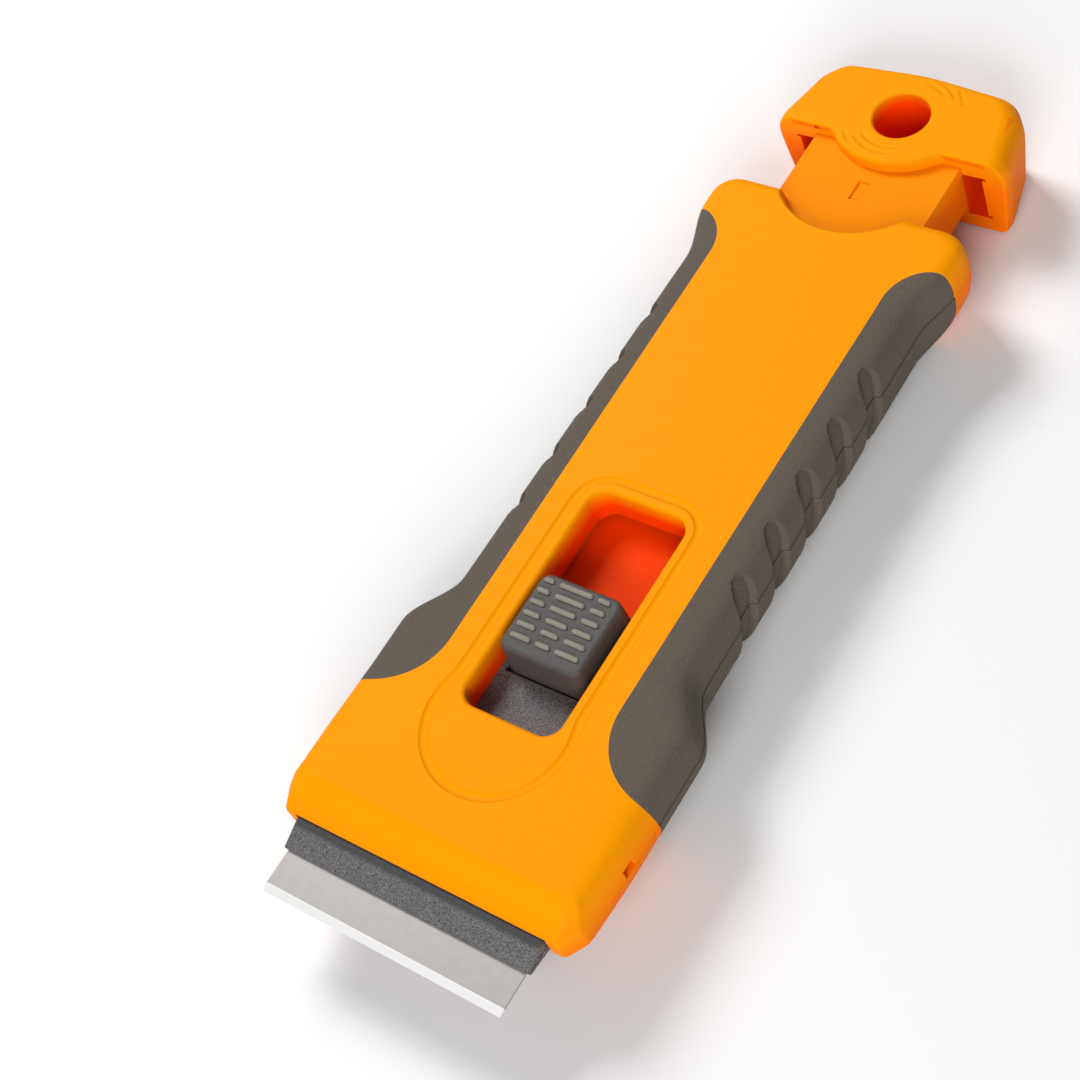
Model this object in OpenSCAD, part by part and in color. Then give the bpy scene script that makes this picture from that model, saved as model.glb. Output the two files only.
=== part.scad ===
// Ceramic hob scraper with a sliding blade carriage in its nose and a
// blade magazine that pulls out of its tail.
// +Y runs towards the tail, +Z is the thumb side, the underside lies on z = 0.

/* [Handle] */
// Length of the two shells, nose to tail
body_l = 117.2; // [112:0.2:124]
// Thickness of the handle
body_h = 16; // [15.6:0.1:18]
// Height of the joint between the two shells
part_z = 10.5; // [10.2:0.05:10.8]
// Width of the nose
nose_w = 49.8; // [49.2:0.1:54]
// Width of the front edge, between the corner chamfers
front_w = 45.2; // [44.8:0.1:47]
// Width of the grip just behind the nose
waist_w = 40.6; // [40:0.1:43]
// Width of the grip at its narrowest, near the tail
neck_w = 39.2; // [39:0.1:42]
// Width of the tail bulge
tail_w = 43; // [42.6:0.1:46]
// Corner radius of the tail
tail_r = 3.6; // [3:0.1:5.5]
// Width that the top edge falls away over, along the grips
top_round = 4.4; // [4:0.1:5]
// Width that the bottom edge falls away over
low_round = 4.4; // [3.5:0.1:5]
// Extra amount that the nose's flanks are drawn in under the joint
flank_in = 1.2; // [0.6:0.1:1.6]
// Height of the top face's front edge
front_top_z = 13.6; // [13.5:0.05:14.2]
// Height of the nose's lower front edge
front_low_z = 9.8; // [9.4:0.05:10.2]
// Length of the bevel on top of the nose
nose_bevel = 4.2; // [3:0.1:6]
// Length of the slope under the nose
nose_slope = 30.6; // [28:0.1:31]

/* [Shells] */
// Wall over the blade carriage and under the cavity
wall = 2.2; // [1.9:0.05:2.4]
// Thickness of the soft grips
grip_t = 1.6; // [1.2:0.05:1.8]
// Half width of the top face between the grips
grip_in = 14.3; // [13.9:0.05:14.5]
// Radius of the grip's rear end curve
grip_rear_r = 7.2; // [6:0.1:8]
// Radius of the grip's front end curve
grip_front_r = 10.4; // [9:0.1:11]
// Finger recesses in each grip
recesses = 5; // [3:1:6]
// Spacing of the finger recesses
recess_pitch = 9.05; // [8:0.05:9.5]
// Length of a finger recess along the grip
recess_l = 4.5; // [3:0.1:6]
// Depth of a finger recess
recess_d = 0.8; // [0.4:0.05:1]
// Half width of the main cavity
cavity_hw = 15.2; // [14.9:0.05:15.4]
// Width of the groove pressed round the thumb window
line_w = 0.5; // [0.3:0.05:0.8]
// Depth of that groove
line_d = 0.4; // [0.2:0.05:0.6]

/* [Thumb window] */
// Length of the window
win_l = 36.3; // [35.5:0.1:38]
// Width of the window
win_w = 15.8; // [15.2:0.1:17]
// Distance of the window behind the nose
win_set = 23.3; // [23:0.1:24.5]
// Corner radius of the window
win_r = 2.6; // [1.5:0.1:4]
// Wall of the window's skirt
skirt_t = 1.8; // [1.2:0.1:2]
// Width of the band between the window and the pressed line
band_w = 2.1; // [1.5:0.1:2.6]
// Radius of the ring groove at the front of the window
ring_r = 10.85; // [9:0.05:12]

/* [Blade and jaws] */
// Length of a blade
blade_l = 40; // [38:0.1:41]
// Width of a blade, back to edge
blade_w = 18.2; // [18:0.1:18.6]
// Thickness of a blade
blade_t = 0.4; // [0.3:0.05:0.45]
// Height of the blade's top face
blade_z = 11.1; // [11.05:0.05:11.2]
// Length of blade in front of the jaws
blade_out = 6.3; // [5:0.1:6.4]
// Length of jaw in front of the nose
jaw_out = 4.2; // [4:0.1:5]
// Thickness of the upper jaw
upper_jaw_t = 1.9; // [1.6:0.05:1.95]
// Thickness of the lower jaw
lower_jaw_t = 1.5; // [1.2:0.05:1.5]
// Radius of the pegs that hold the blade
peg_r = 1.2; // [0.9:0.05:1.3]
// Thickness of the carriage's tray
tray_t = 1.5; // [1.4:0.05:1.5]
// Radius of the jaw screws' thread
jaw_screw_r = 0.9; // [0.7:0.05:1]
// Radius of the jaw screws' heads
jaw_head_r = 1.8; // [1.5:0.05:2]
// Distance of the jaw screws from the ends of the jaws
jaw_screw_in = 5.5; // [4.5:0.1:6]
// Distance of the pegs from the ends of the blade
notch_in = 1.5; // [1.2:0.1:2]

/* [Thumb button] */
// Width of the button at its foot
button_w = 13.8; // [13:0.1:14.2]
// Length of the button at its foot
button_l = 13.3; // [12.5:0.1:13.5]
// Height of the button over the tray
button_h = 6.1; // [5.5:0.1:7]
// Amount by which the button's top is drawn in on each side
button_in = 0.6; // [0.3:0.05:0.9]
// Centre of the button behind the window's front edge
button_set = 14.9; // [14.8:0.1:16]
// Thickness of the button's soft cap
button_wall = 1.3; // [1:0.05:1.5]
// Travel of the button
press = 0.9; // [0.5:0.05:0.95]
// Width of a rib on the button
rib_w = 0.8; // [0.5:0.05:1]
// Height of a rib on the button
rib_h = 0.4; // [0.2:0.05:0.6]

/* [Magazine] */
// Width of the magazine
mag_w = 24.3; // [24.1:0.05:24.6]
// Space between the magazine's lid and the roof of the handle
mag_drop = 0.9; // [0.8:0.05:1.2]
// Height of the magazine's underside
mag_z = 4.5; // [4.4:0.05:4.6]
// Distance that the magazine stands out of its closed place, as photographed
pulled = 12.6; // [10:0.1:13]
// Length of the magazine in front of the cap, beyond the length of a blade
mag_spare = 5; // [4.8:0.1:6]
// Wall of the magazine
mag_wall = 1.3; // [1.1:0.05:1.4]
// Thickness of the lid
lid_t = 1.4; // [1.2:0.05:1.5]

/* [End cap] */
// Width of the cap
cap_w = 39.6; // [39:0.1:42]
// Length of the cap, front to back
cap_l = 14.3; // [14:0.1:16]
// Height of the handle's top over the cap's top
cap_drop = 1; // [0.9:0.1:1.6]
// Wall of the cap
cap_wall = 2; // [1.6:0.1:2.2]
// Radius of the hanging hole
hole_r = 4.32; // [3.5:0.02:4.5]
// Wall of the tube round the hanging hole
tube_t = 1.7; // [1.2:0.1:1.9]
// Centre of the hanging hole behind the cap's front face
hole_set = 5.5; // [5:0.1:6.5]
// Radius of the boss that stands in front of the hanging hole
boss_r = 12; // [11:0.1:13]
// Length of the boss in front of the cap's front face
boss_out = 4.1; // [3:0.1:4.3]

/* [Fasteners and gate] */
// Radius of the shell screws' thread
screw_r = 1.2; // [1:0.05:1.25]
// Radius of the shell screws' heads
screw_head_r = 2; // [1.8:0.05:2.05]
// Thickness of the gate's arm
gate_t = 1.5; // [1.2:0.05:1.6]
// Length of the gate's hook
hook_l = 11; // [9:0.1:12]
// Radius of the gate's pin
pin_r = 0.6; // [0.5:0.05:0.7]

/* [Fits] */
// Gap of a sliding fit
slide_gap = 0.15; // [0.1:0.01:0.2]
// Gap of a running fit on a pin
run_gap = 0.05; // [0.03:0.01:0.08]
// Gap between a part and the pocket it lies in
seat_gap = 0.2; // [0.1:0.05:0.25]

/* [Hidden] */
$fn = 48;
far = 60;
bite = 0.5;

front_y = -body_l / 2;
tail_y = body_l / 2;
win_y0 = front_y + win_set;
win_y1 = win_y0 + win_l;
win_hw = win_w / 2;
top_h = body_h - part_z;

tray_z1 = blade_z;
tray_z0 = blade_z - tray_t;
deck_z = tray_z0 - 0.1;
skirt_z = tray_z1 + 0.1;
jaw_top_z = blade_z + upper_jaw_t;
jaw_low_z = blade_z - blade_t - lower_jaw_t;
slot_z0 = jaw_low_z - seat_gap;
slot_z1 = jaw_top_z + seat_gap;
jaw_hw = blade_l / 2 + 0.5;
slot_hw = jaw_hw + 0.45;
jaw_y0 = front_y - jaw_out;
blade_y0 = jaw_y0 - blade_out;
blade_y1 = blade_y0 + blade_w;
peg_h = 0.5;
web_y = blade_y1 + seat_gap;
web_l = 1.5;
jaw_screw_x = jaw_hw - jaw_screw_in;
jaw_screw_y = web_y + 4;
head_h = 1.5;
head_z = 3;
wing_y1 = web_y + 7;
wing_in = 10.3;
tray_hw = win_hw + skirt_t - 0.1;
back_travel = 12;
slot_y1 = wing_y1 + back_travel + 0.7;
roof_z = body_h - wall;

button_y = win_y0 + button_set;
tray_y1 = button_y + button_l / 2 + 0.5;
stop_y = tray_y1 + back_travel + 0.2;
pocket_z = tray_z0 + 0.5;
core_x = button_w / 2 - button_wall;
core_y = button_l / 2 - button_wall;
core_z0 = tray_z1 + press + 0.1;
core_z1 = tray_z1 + button_h - button_wall - 0.2;
wing_top_z = tray_z1 - 0.05;
wing_t = 0.55;
nub_x0 = win_hw + 0.4;
nub_h = 0.35;

mag_hw = mag_w / 2;
mag_z1 = roof_z - mag_drop;
mag_h = mag_z1 - mag_z;
mag_l = blade_l + mag_spare;
cap_y = tail_y + pulled + 0.2;
mouth_y = cap_y - mag_l;
lid_z = mag_z1 - lid_t;
box_floor = 1.2;
gate_y0 = mouth_y + 0.1;
gate_y1 = gate_y0 + gate_t;
pin_x = mag_hw - 1.45;
pin_y = gate_y0 + gate_t / 2;
knuckle_r = pin_r + 0.6;
store_y = pin_y + knuckle_r + 0.15;
gate_z0 = mag_z + box_floor + 0.1;
gate_z1 = lid_z - 0.1;
hook_t = 1.1;
hook_z0 = mag_z + 0.1;
hook_z1 = mag_z1 - 0.6;
hole_y = cap_y + hole_set;
cap_z = 0.3;
cap_z1 = body_h - cap_drop;
cap_h = cap_z1 - cap_z;
cap_hw = cap_w / 2;
arc_r = boss_r + 0.8;
arc_y = cap_y - boss_out + boss_r - pulled;

screw_front = [11.85, win_y0 + 11];
screw_rear = [14.6, tail_y - 4.4];
boss_post_r = 2;
rail_y0 = mouth_y + hook_l + 2;

// Smooth step from 0 to 1 while t runs from 0 to 1.
function ease(t) = let (u = min(1, max(0, t))) u * u * (3 - 2 * u);

// Places along the handle where its outline changes.
chamfer_l = 3.8;
shoulder_y = front_y + 30.2;
waist_y = shoulder_y + 11;
bulge_y0 = tail_y - 15.3;
bulge_y1 = tail_y - 6.8;

// Half width of the handle at one place along it.
function half_w(y) =
    y < front_y + chamfer_l
        ? front_w / 2 + (nose_w - 0.8 - front_w) / 2 * (y - front_y) / chamfer_l
    : y < shoulder_y
        ? nose_w / 2 - 0.4 + 0.4 * ease((y - front_y - chamfer_l) / 12)
    : y < waist_y
        ? nose_w / 2 + (waist_w - nose_w) / 2 * ease((y - shoulder_y) / (waist_y - shoulder_y))
    : y < bulge_y0
        ? waist_w / 2 + (neck_w - waist_w) / 2 * (y - waist_y) / (bulge_y0 - waist_y)
    : y < tail_y - tail_r
        ? neck_w / 2 + (tail_w - neck_w) / 2 * ease((y - bulge_y0) / (bulge_y1 - bulge_y0))
    : tail_w / 2 - tail_r + sqrt(max(0, pow(tail_r, 2) - pow(y - tail_y + tail_r, 2)));

// Share of the top edge's rounding at one place: full along the grips, less at nose and tail.
function top_share(y) =
    0.75 + 0.25 * ease((y - shoulder_y + 8) / 16) - 0.65 * ease((y - bulge_y0 + 2) / 12);

// Share of the extra draw of the flanks under the joint.
function flank_share(y) = 1 - ease((y - shoulder_y - 2) / 12);

// Share of the rounding that also pulls the tail's end face in.
function tail_share(y) = 0.3 * ease((y - bulge_y1) / tail_r);

steps = 8;
stations = concat(
    [front_y, front_y + chamfer_l / 2, front_y + chamfer_l],
    [for (i = [1 : 5]) front_y + chamfer_l + i * (shoulder_y - front_y - chamfer_l) / 6],
    [for (i = [0 : steps]) shoulder_y + i * (waist_y - shoulder_y) / steps],
    [for (i = [1 : 5]) waist_y + i * (bulge_y0 - waist_y) / 6],
    [for (i = [0 : steps]) bulge_y0 + i * (bulge_y1 - bulge_y0) / steps],
    [for (i = [0 : steps]) tail_y - tail_r + tail_r * sin(90 * i / steps)]
);
last = len(stations) - 1;

// Fall of the edge at a height over or under the joint.
function top_fall(h) = h > 0 ? top_round * pow(h / top_h, 3) : 0;
function low_fall(h) = h > 0 ? low_round * pow(h / part_z, 3) : 0;

// Amount that the sides are drawn in at a place and a level.
function draw(y, z) = top_fall(z - part_z) * top_share(y) + low_fall(part_z - z)
    + flank_in * flank_share(y) * ease((part_z - z) / 5.5);

// Outline at one level: the plan, drawn in at its sides and its tail, less an even thickness.
function ring(z, even = 0) = let (back = top_fall(z - part_z) + low_fall(part_z - z)) concat(
    [for (y = stations) [half_w(y) - draw(y, z) - even, y - back * tail_share(y)]],
    [for (i = [last : -1 : 0]) let (y = stations[i])
        [-half_w(y) + draw(y, z) + even, y - back * tail_share(y)]]
);

// Levels of the handle from the underside to the top face.
levels = concat(
    [for (h = [1, 0.9, 0.78, 0.62, 0.42, 0.22]) part_z * (1 - h)],
    [part_z],
    [for (h = [0.35, 0.6, 0.78, 0.91, 1]) part_z + h * top_h]
);

// Whole handle as one closed form.
module handle_form() {
    n = 2 * (last + 1);
    points = [for (z = levels) for (p = ring(z)) [p[0], p[1], z]];
    sides = [for (k = [0 : len(levels) - 2]) for (i = [0 : n - 1])
        let (j = (i + 1) % n, a = k * n, b = (k + 1) * n)
        each [[a + i, b + i, b + j], [a + i, b + j, a + j]]];
    top = (len(levels) - 1) * n;
    caps = [for (i = [0 : last - 1]) let (j = n - 1 - i)
        each [
            [i, i + 1, j - 1], [i, j - 1, j],
            [top + i, top + j - 1, top + i + 1], [top + i, top + j, top + j - 1]
        ]];
    difference() {
        polyhedron(points = points, faces = concat(sides, caps), convexity = 6);
        side_cut([
            [front_y - bite, front_top_z - bite * (body_h - front_top_z) / nose_bevel],
            [front_y + nose_bevel, body_h],
            [front_y + nose_bevel, body_h + 1],
            [front_y - bite, body_h + 1]
        ]);
        side_cut([
            [front_y - bite, front_low_z + bite * front_low_z / nose_slope],
            [front_y - bite, -1],
            [front_y + nose_slope, -1],
            [front_y + nose_slope, 0]
        ]);
    }
}

// Prism across the handle with a given outline in the upright Y-Z plane.
module side_cut(outline, hw = far) {
    translate([-hw, 0, 0]) rotate([90, 0, 90]) linear_extrude(2 * hw) polygon(outline);
}

// Box given by its half width and its limits along and up.
module block(hw, y0, y1, z0, z1) {
    translate([-hw, y0, z0]) cube([2 * hw, y1 - y0, z1 - z0]);
}

// One copy on each side of the centre plane.
module pair() {
    children();
    mirror([1, 0, 0]) children();
}

// Plan of the right grip, from its inner edge outwards.
module grip_plan() {
    rear = [grip_in + grip_rear_r, bulge_y0 + 0.5];
    front = [grip_in - 0.2 + grip_front_r, shoulder_y - 0.1];
    polygon(concat(
        [for (a = [270 : -7.5 : 180]) front + grip_front_r * [cos(a), sin(a)]],
        [for (a = [180 : -7.5 : 90]) rear + grip_rear_r * [cos(a), sin(a)]],
        [[far, rear[1] + grip_rear_r], [far, front[1] - grip_front_r]]
    ));
}

// Rigid core that the grips lie on, in straight-sided layers.
module grip_core() {
    layers = [
        [1.8, 4, 2.6],
        [4, part_z, 5.5],
        [part_z, part_z + 2, part_z + 2],
        [part_z + 2, body_h - 1.8, body_h - 1.8]
    ];
    for (v = layers)
        translate([0, 0, v[0]]) linear_extrude(v[1] - v[0]) polygon(ring(v[2], grip_t));
}

// Space that the grips fill, between two heights.
module grip_space(z0, z1) {
    difference() {
        translate([0, 0, z0]) linear_extrude(z1 - z0) grip_plan();
        grip_core();
    }
}

// Row of upright recesses along the right grip.
module recess_row() {
    depth_r = 6;
    mid = (waist_y + bulge_y0) / 2 - 1.9;
    for (i = [0 : recesses - 1]) {
        y = mid + (i - (recesses - 1) / 2) * recess_pitch;
        translate([half_w(y) - recess_d, y - recess_l / 2, 1.5])
            cube([depth_r, recess_l, body_h - 4]);
    }
}

module grip(z0, z1) {
    difference() {
        intersection() {
            handle_form();
            grip_space(z0, z1);
        }
        recess_row();
    }
}

// Rounded rectangle round the thumb window, grown by an amount.
module window_plan(grow = 0) {
    r = win_r + grow;
    hull_w = win_hw + grow - r;
    y0 = win_y0 - grow + r;
    y1 = win_y1 + grow - r;
    translate([-hull_w - r, y0]) square([2 * (hull_w + r), y1 - y0]);
    translate([-hull_w, y0 - r]) square([2 * hull_w, y1 - y0 + 2 * r]);
    for (x = [-hull_w, hull_w]) for (y = [y0, y1]) translate([x, y]) circle(r);
}

// Outline of the pressed line: a ring in front that runs on round the window.
module line_plan(grow) {
    translate([0, win_y0 - 0.8]) circle(ring_r + grow);
    difference() {
        window_plan(band_w + grow);
        translate([-far, win_y0 - far]) square([2 * far, far]);
    }
}

// Cavity that both shells share, in front of and around the magazine.
module main_cavity() {
    low_z = mag_z - slide_gap;
    side_cut([
        [slot_y1 - 17, slot_z0],
        [slot_y1 - 17 + 6, slot_z0 - 1],
        [slot_y1, low_z],
        [tail_y - 2, low_z],
        [tail_y - 2, part_z + 2],
        [slot_y1, part_z + 2],
        [slot_y1, slot_z0]
    ], cavity_hw);
    block(mag_hw + 1, slot_y1 + 1, tail_y - 2, wall, low_z + bite);
    block(slot_hw, front_y - bite, slot_y1, slot_z0, slot_z1);
    block(grip_in - 0.9, slot_y1 - bite, tail_y - 2, part_z, roof_z);
}

// Opening in the tail for the magazine.
module tail_opening() {
    block(mag_hw + slide_gap, tail_y - 3, tail_y + 2, mag_z - slide_gap, mag_z1 + slide_gap);
}

// Posts that the shell screws run in.
module at_screws() {
    pair() translate([screw_front[0], screw_front[1], 0]) children();
    pair() translate([screw_rear[0], screw_rear[1], 0]) children();
}

module upper_shell() {
    color("orange") difference() {
        union() {
            difference() {
                intersection() {
                    handle_form();
                    union() {
                        block(far, front_y - 1, tail_y + 1, part_z, body_h + 1);
                        block(far, front_y - 1, front_y + 8.9, -1, part_z + 1);
                    }
                }
                pair() grip_space(0, body_h + 1);
                main_cavity();
                block(slot_hw, front_y - 1, front_y + 9.2, -1, slot_z0 + 0.1);
            }
            block(win_hw + skirt_t, win_y0 + 0.5, win_y1 + skirt_t, skirt_z, roof_z + bite);
            block(win_hw + skirt_t, stop_y, win_y1 + skirt_t, deck_z + 0.1, roof_z + bite);
            pair() translate([mag_hw + slide_gap, rail_y0, part_z])
                cube([1.4, tail_y - 1.5 - rail_y0, roof_z + bite - part_z]);
            pair() translate([mag_hw - 2, rail_y0, mag_z1 + slide_gap])
                cube([2 + bite, tail_y - 1.5 - rail_y0, roof_z + bite - mag_z1 - slide_gap]);
            at_screws() translate([0, 0, part_z])
                cylinder(r = boss_post_r, h = roof_z + bite - part_z);
        }
        translate([0, 0, deck_z - 1]) linear_extrude(body_h) window_plan();
        pair() translate([nub_x0 - 0.2, win_y0, skirt_z - bite])
            cube([1.3, stop_y - win_y0 - 1, nub_h + 0.15 + bite]);
        translate([0, 0, body_h - line_d]) linear_extrude(1) difference() {
            line_plan(0);
            line_plan(-line_w);
        }
        tail_opening();
        translate([0, arc_y, mag_z1]) cylinder(r = arc_r, h = body_h, $fn = 96);
        at_screws() translate([0, 0, part_z - 1])
            cylinder(r = screw_r + run_gap, h = roof_z - part_z + 0.6, $fn = 24);
        pair() translate([half_w(front_y + 13.5) - 1.2, front_y + 12.4, part_z - 0.1])
            cube([3, 2.2, 1.7]);
    }
}

module lower_shell() {
    rib_t = 1.2;
    color("darkorange") difference() {
        union() {
            difference() {
                intersection() {
                    handle_form();
                    union() {
                        block(far, front_y + 9, tail_y + 1, -1, part_z);
                        block(slot_hw - 0.1, front_y + 5.5, front_y + 9.1, -1, slot_z0);
                    }
                }
                pair() grip_space(-1, part_z + 1);
                main_cavity();
            }
            block(tray_hw + 0.3, win_y0 + 0.7, stop_y + 3.5, deck_z - 1.4, deck_z);
            block(cavity_hw + bite, slot_y1, stop_y + 3.5, deck_z - 1.4, deck_z);
            for (x = [-tray_hw, 0, tray_hw]) translate([x - rib_t / 2, slot_y1, wall - bite])
                cube([rib_t, stop_y + 3.5 - slot_y1, deck_z - 1 - wall + bite]);
            pair() translate([mag_hw + slide_gap, rail_y0, wall - bite])
                cube([1.4, tail_y - 1.5 - rail_y0, part_z - wall + bite]);
            pair() translate([mag_hw - 2, rail_y0, wall - bite])
                cube([2 + bite, tail_y - 1.5 - rail_y0, mag_z - slide_gap - wall + bite]);
            at_screws() translate([0, 0, wall - bite])
                cylinder(r = boss_post_r, h = part_z - wall + bite);
        }
        pair() translate([win_hw + 0.1, win_y0, deck_z - 1])
            cube([tray_hw - win_hw + 0.35, stop_y - win_y0, 2]);
        tail_opening();
        at_screws() {
            translate([0, 0, -1]) cylinder(r = screw_r + seat_gap, h = body_h, $fn = 24);
            translate([0, 0, -1]) cylinder(r = screw_head_r + seat_gap, h = head_z + 1, $fn = 32);
        }
    }
}

module upper_grip_left() {
    color("dimgray") mirror([1, 0, 0]) grip(part_z, body_h + 1);
}

module upper_grip_right() {
    color("dimgray") grip(part_z, body_h + 1);
}

module lower_grip_left() {
    color("dimgray") mirror([1, 0, 0]) grip(-1, part_z);
}

module lower_grip_right() {
    color("dimgray") grip(-1, part_z);
}

module shell_screws() {
    color("silver") at_screws() difference() {
        union() {
            translate([0, 0, head_z - head_h]) cylinder(r = screw_head_r, h = head_h, $fn = 32);
            translate([0, 0, head_z - 0.1]) cylinder(r = screw_r, h = roof_z - head_z - 0.6, $fn = 24);
        }
        for (a = [0, 90]) translate([0, 0, head_z - head_h]) rotate([0, 0, a])
            cube([2.6, 0.5, 1.2], center = true);
    }
}

// Right-hand half of the slot cut that the button core's arms pass through.
module arm_cut(gap) {
    translate([core_x - 1.4 - gap, button_y - 1.5 - gap, deck_z - 1])
        cube([tray_hw - core_x + 3, 3 + 2 * gap, 3]);
}

module blade_carriage() {
    lip_z = blade_z + 0.5;
    chamfer = 0.7;
    color("gray") difference() {
        union() {
            side_cut([
                [jaw_y0, blade_z],
                [jaw_y0, lip_z],
                [jaw_y0 + 3.2, jaw_top_z - 0.35],
                [jaw_y0 + 4.6, jaw_top_z],
                [web_y + web_l, jaw_top_z],
                [web_y + web_l, blade_z]
            ], jaw_hw);
            block(jaw_hw, web_y, web_y + web_l, blade_z - blade_t, jaw_top_z);
            block(tray_hw, web_y, tray_y1, tray_z0, tray_z1);
            pair() translate([wing_in, web_y, blade_z - blade_t])
                cube([jaw_hw - wing_in, wing_y1 - web_y, jaw_top_z - blade_z + blade_t]);
        }
        block(core_x + button_wall + seat_gap, button_y - button_l / 2 - seat_gap,
            button_y + button_l / 2 + seat_gap, pocket_z, tray_z1 + 1);
        pair() arm_cut(seat_gap);
        pair() translate([blade_l / 2 - notch_in, (blade_y0 + blade_y1) / 2, blade_z - 1])
            cylinder(r = peg_r + seat_gap, h = 1 + peg_h + 0.1, $fn = 24);
        pair() translate([jaw_screw_x, jaw_screw_y, blade_z - blade_t - 1])
            cylinder(r = jaw_screw_r + run_gap, h = 1 + blade_t + 1.2, $fn = 24);
        pair() translate([win_hw, tray_y1 - 4, 0]) rotate([90, 0, 90]) linear_extrude(5)
            polygon([[0, tray_z1], [5, tray_z1 - chamfer * 5 / 4], [5, tray_z1 + 1]]);
    }
}

module lower_jaw() {
    tip_z = blade_z - blade_t - 0.3;
    top_z = blade_z - blade_t;
    color("slategray") difference() {
        union() {
            side_cut([
                [jaw_y0 + 0.2, tip_z],
                [jaw_y0 + 0.2, top_z],
                [blade_y1, top_z],
                [blade_y1, jaw_low_z],
                [jaw_y0 + 7.5, jaw_low_z]
            ], jaw_hw - 0.1);
            pair() translate([wing_in, blade_y1 - bite, jaw_low_z])
                cube([jaw_hw - 0.1 - wing_in, wing_y1 - blade_y1 + bite, lower_jaw_t]);
            pair() translate([blade_l / 2 - notch_in, (blade_y0 + blade_y1) / 2, top_z - bite])
                cylinder(r = peg_r, h = bite + blade_t + peg_h, $fn = 24);
        }
        pair() translate([jaw_screw_x, jaw_screw_y, jaw_low_z - 1]) {
            cylinder(r = jaw_screw_r + run_gap, h = lower_jaw_t + 2, $fn = 24);
            cylinder(r = jaw_head_r + run_gap, h = 1.6, $fn = 32);
        }
    }
}

module jaw_screws() {
    color("silver") pair() translate([jaw_screw_x, jaw_screw_y, jaw_low_z]) difference() {
        union() {
            cylinder(r = jaw_head_r, h = 0.6, $fn = 32);
            cylinder(r = jaw_screw_r, h = lower_jaw_t + blade_t + 0.9, $fn = 24);
        }
        cube([2.2, 0.4, 0.6], center = true);
    }
}

// Blade with its edge towards -Y, its back at y = blade_w and its top face at z = 0.
module blade_form() {
    half = blade_l / 2;
    notch_r = peg_r + 0.3;
    rotate([90, 0, 90]) translate([0, 0, -half]) difference() {
        linear_extrude(blade_l) polygon([
            [0, -blade_t + 0.05],
            [1.1, 0],
            [blade_w, 0],
            [blade_w, -blade_t],
            [1.1, -blade_t]
        ]);
        for (end = [-1, 1]) translate([blade_w / 2, 1, half + end * (half - notch_in)]) {
            rotate([90, 0, 0]) cylinder(r = notch_r, h = 3, $fn = 32);
            translate([-notch_r, -2, end > 0 ? 0 : -notch_in - 1])
                cube([2 * notch_r, 3, notch_in + 1]);
        }
        for (z = [-1, blade_l - 0.8]) translate([blade_w - 5, -1, z]) cube([6, 2, 1.8]);
    }
}

module scraper_blade() {
    color("gainsboro") translate([0, blade_y0, blade_z]) blade_form();
}

// Rounded rectangle about the button's middle.
module button_plan(hw, hl, r) {
    hull() for (x = [-hw + r, hw - r]) for (y = [-hl + r, hl - r])
        translate([x, button_y + y]) circle(r, $fn = 24);
}

module thumb_button() {
    foot_hw = button_w / 2;
    foot_hl = button_l / 2;
    top_z = tray_z1 + button_h;
    edge = 1;
    rows = 6;
    row_pitch = 1.83;
    color("dimgray") difference() {
        union() {
            hull() {
                translate([0, 0, tray_z1 + 0.05]) linear_extrude(0.5)
                    button_plan(foot_hw, foot_hl, 1.6);
                translate([0, 0, top_z - edge - 0.1]) linear_extrude(0.1)
                    button_plan(foot_hw - button_in * 0.5, foot_hl - button_in * 0.8, 1.8);
                translate([0, 0, top_z - 0.1]) linear_extrude(0.1)
                    button_plan(foot_hw - button_in - edge * 0.7, foot_hl - button_in - edge, 1.6);
            }
            for (i = [0 : rows - 1]) {
                t = i / (rows - 1);
                y = button_y + (i - (rows - 1) / 2) * row_pitch;
                gap_l = -2.2 - 1.6 * t;
                gap_r = 1.4 + 1.2 * t;
                button_rib(-foot_hw + 1.3, gap_l - 0.5, y);
                button_rib(gap_l + 0.5, gap_r - 0.5, y);
                button_rib(gap_r + 0.5, foot_hw - 1.3, y);
            }
        }
        block(core_x, button_y - core_y, button_y + core_y, tray_z1 - 1, core_z1);
    }
}

// Rib on the button's top between two places across it.
module button_rib(x0, x1, y) {
    r = rib_w / 2;
    translate([0, y, tray_z1 + button_h - 0.3]) {
        translate([x0 + r, -r, 0]) cube([x1 - x0 - 2 * r, rib_w, 0.3 + rib_h]);
        for (x = [x0 + r, x1 - r]) translate([x, 0, 0])
            cylinder(r = r, h = 0.3 + rib_h, $fn = 16);
    }
}

module button_core() {
    arm_t = 1.2;
    inset = 0.05;
    color("darkslategray") difference() {
        union() {
            block(core_x - inset, button_y - core_y + inset, button_y + core_y - inset,
                core_z0, core_z1 - inset);
            pair() translate([core_x - inset - arm_t, button_y - 1.5, wing_top_z - wing_t])
                cube([arm_t, 3, core_z0 - wing_top_z + wing_t + bite]);
            pair() translate([core_x - inset - arm_t, button_y - 1.5, wing_top_z - wing_t])
                cube([tray_hw - 0.4 - core_x + inset + arm_t, 3, wing_t]);
            pair() translate([nub_x0, button_y - 1, wing_top_z - 0.1])
                cube([0.9, 2, nub_h]);
        }
        block(core_x - 1.6, button_y - core_y + 1.2, button_y + core_y - 1.2,
            core_z0 - 1, core_z0 + 1.2);
    }
}

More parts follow.
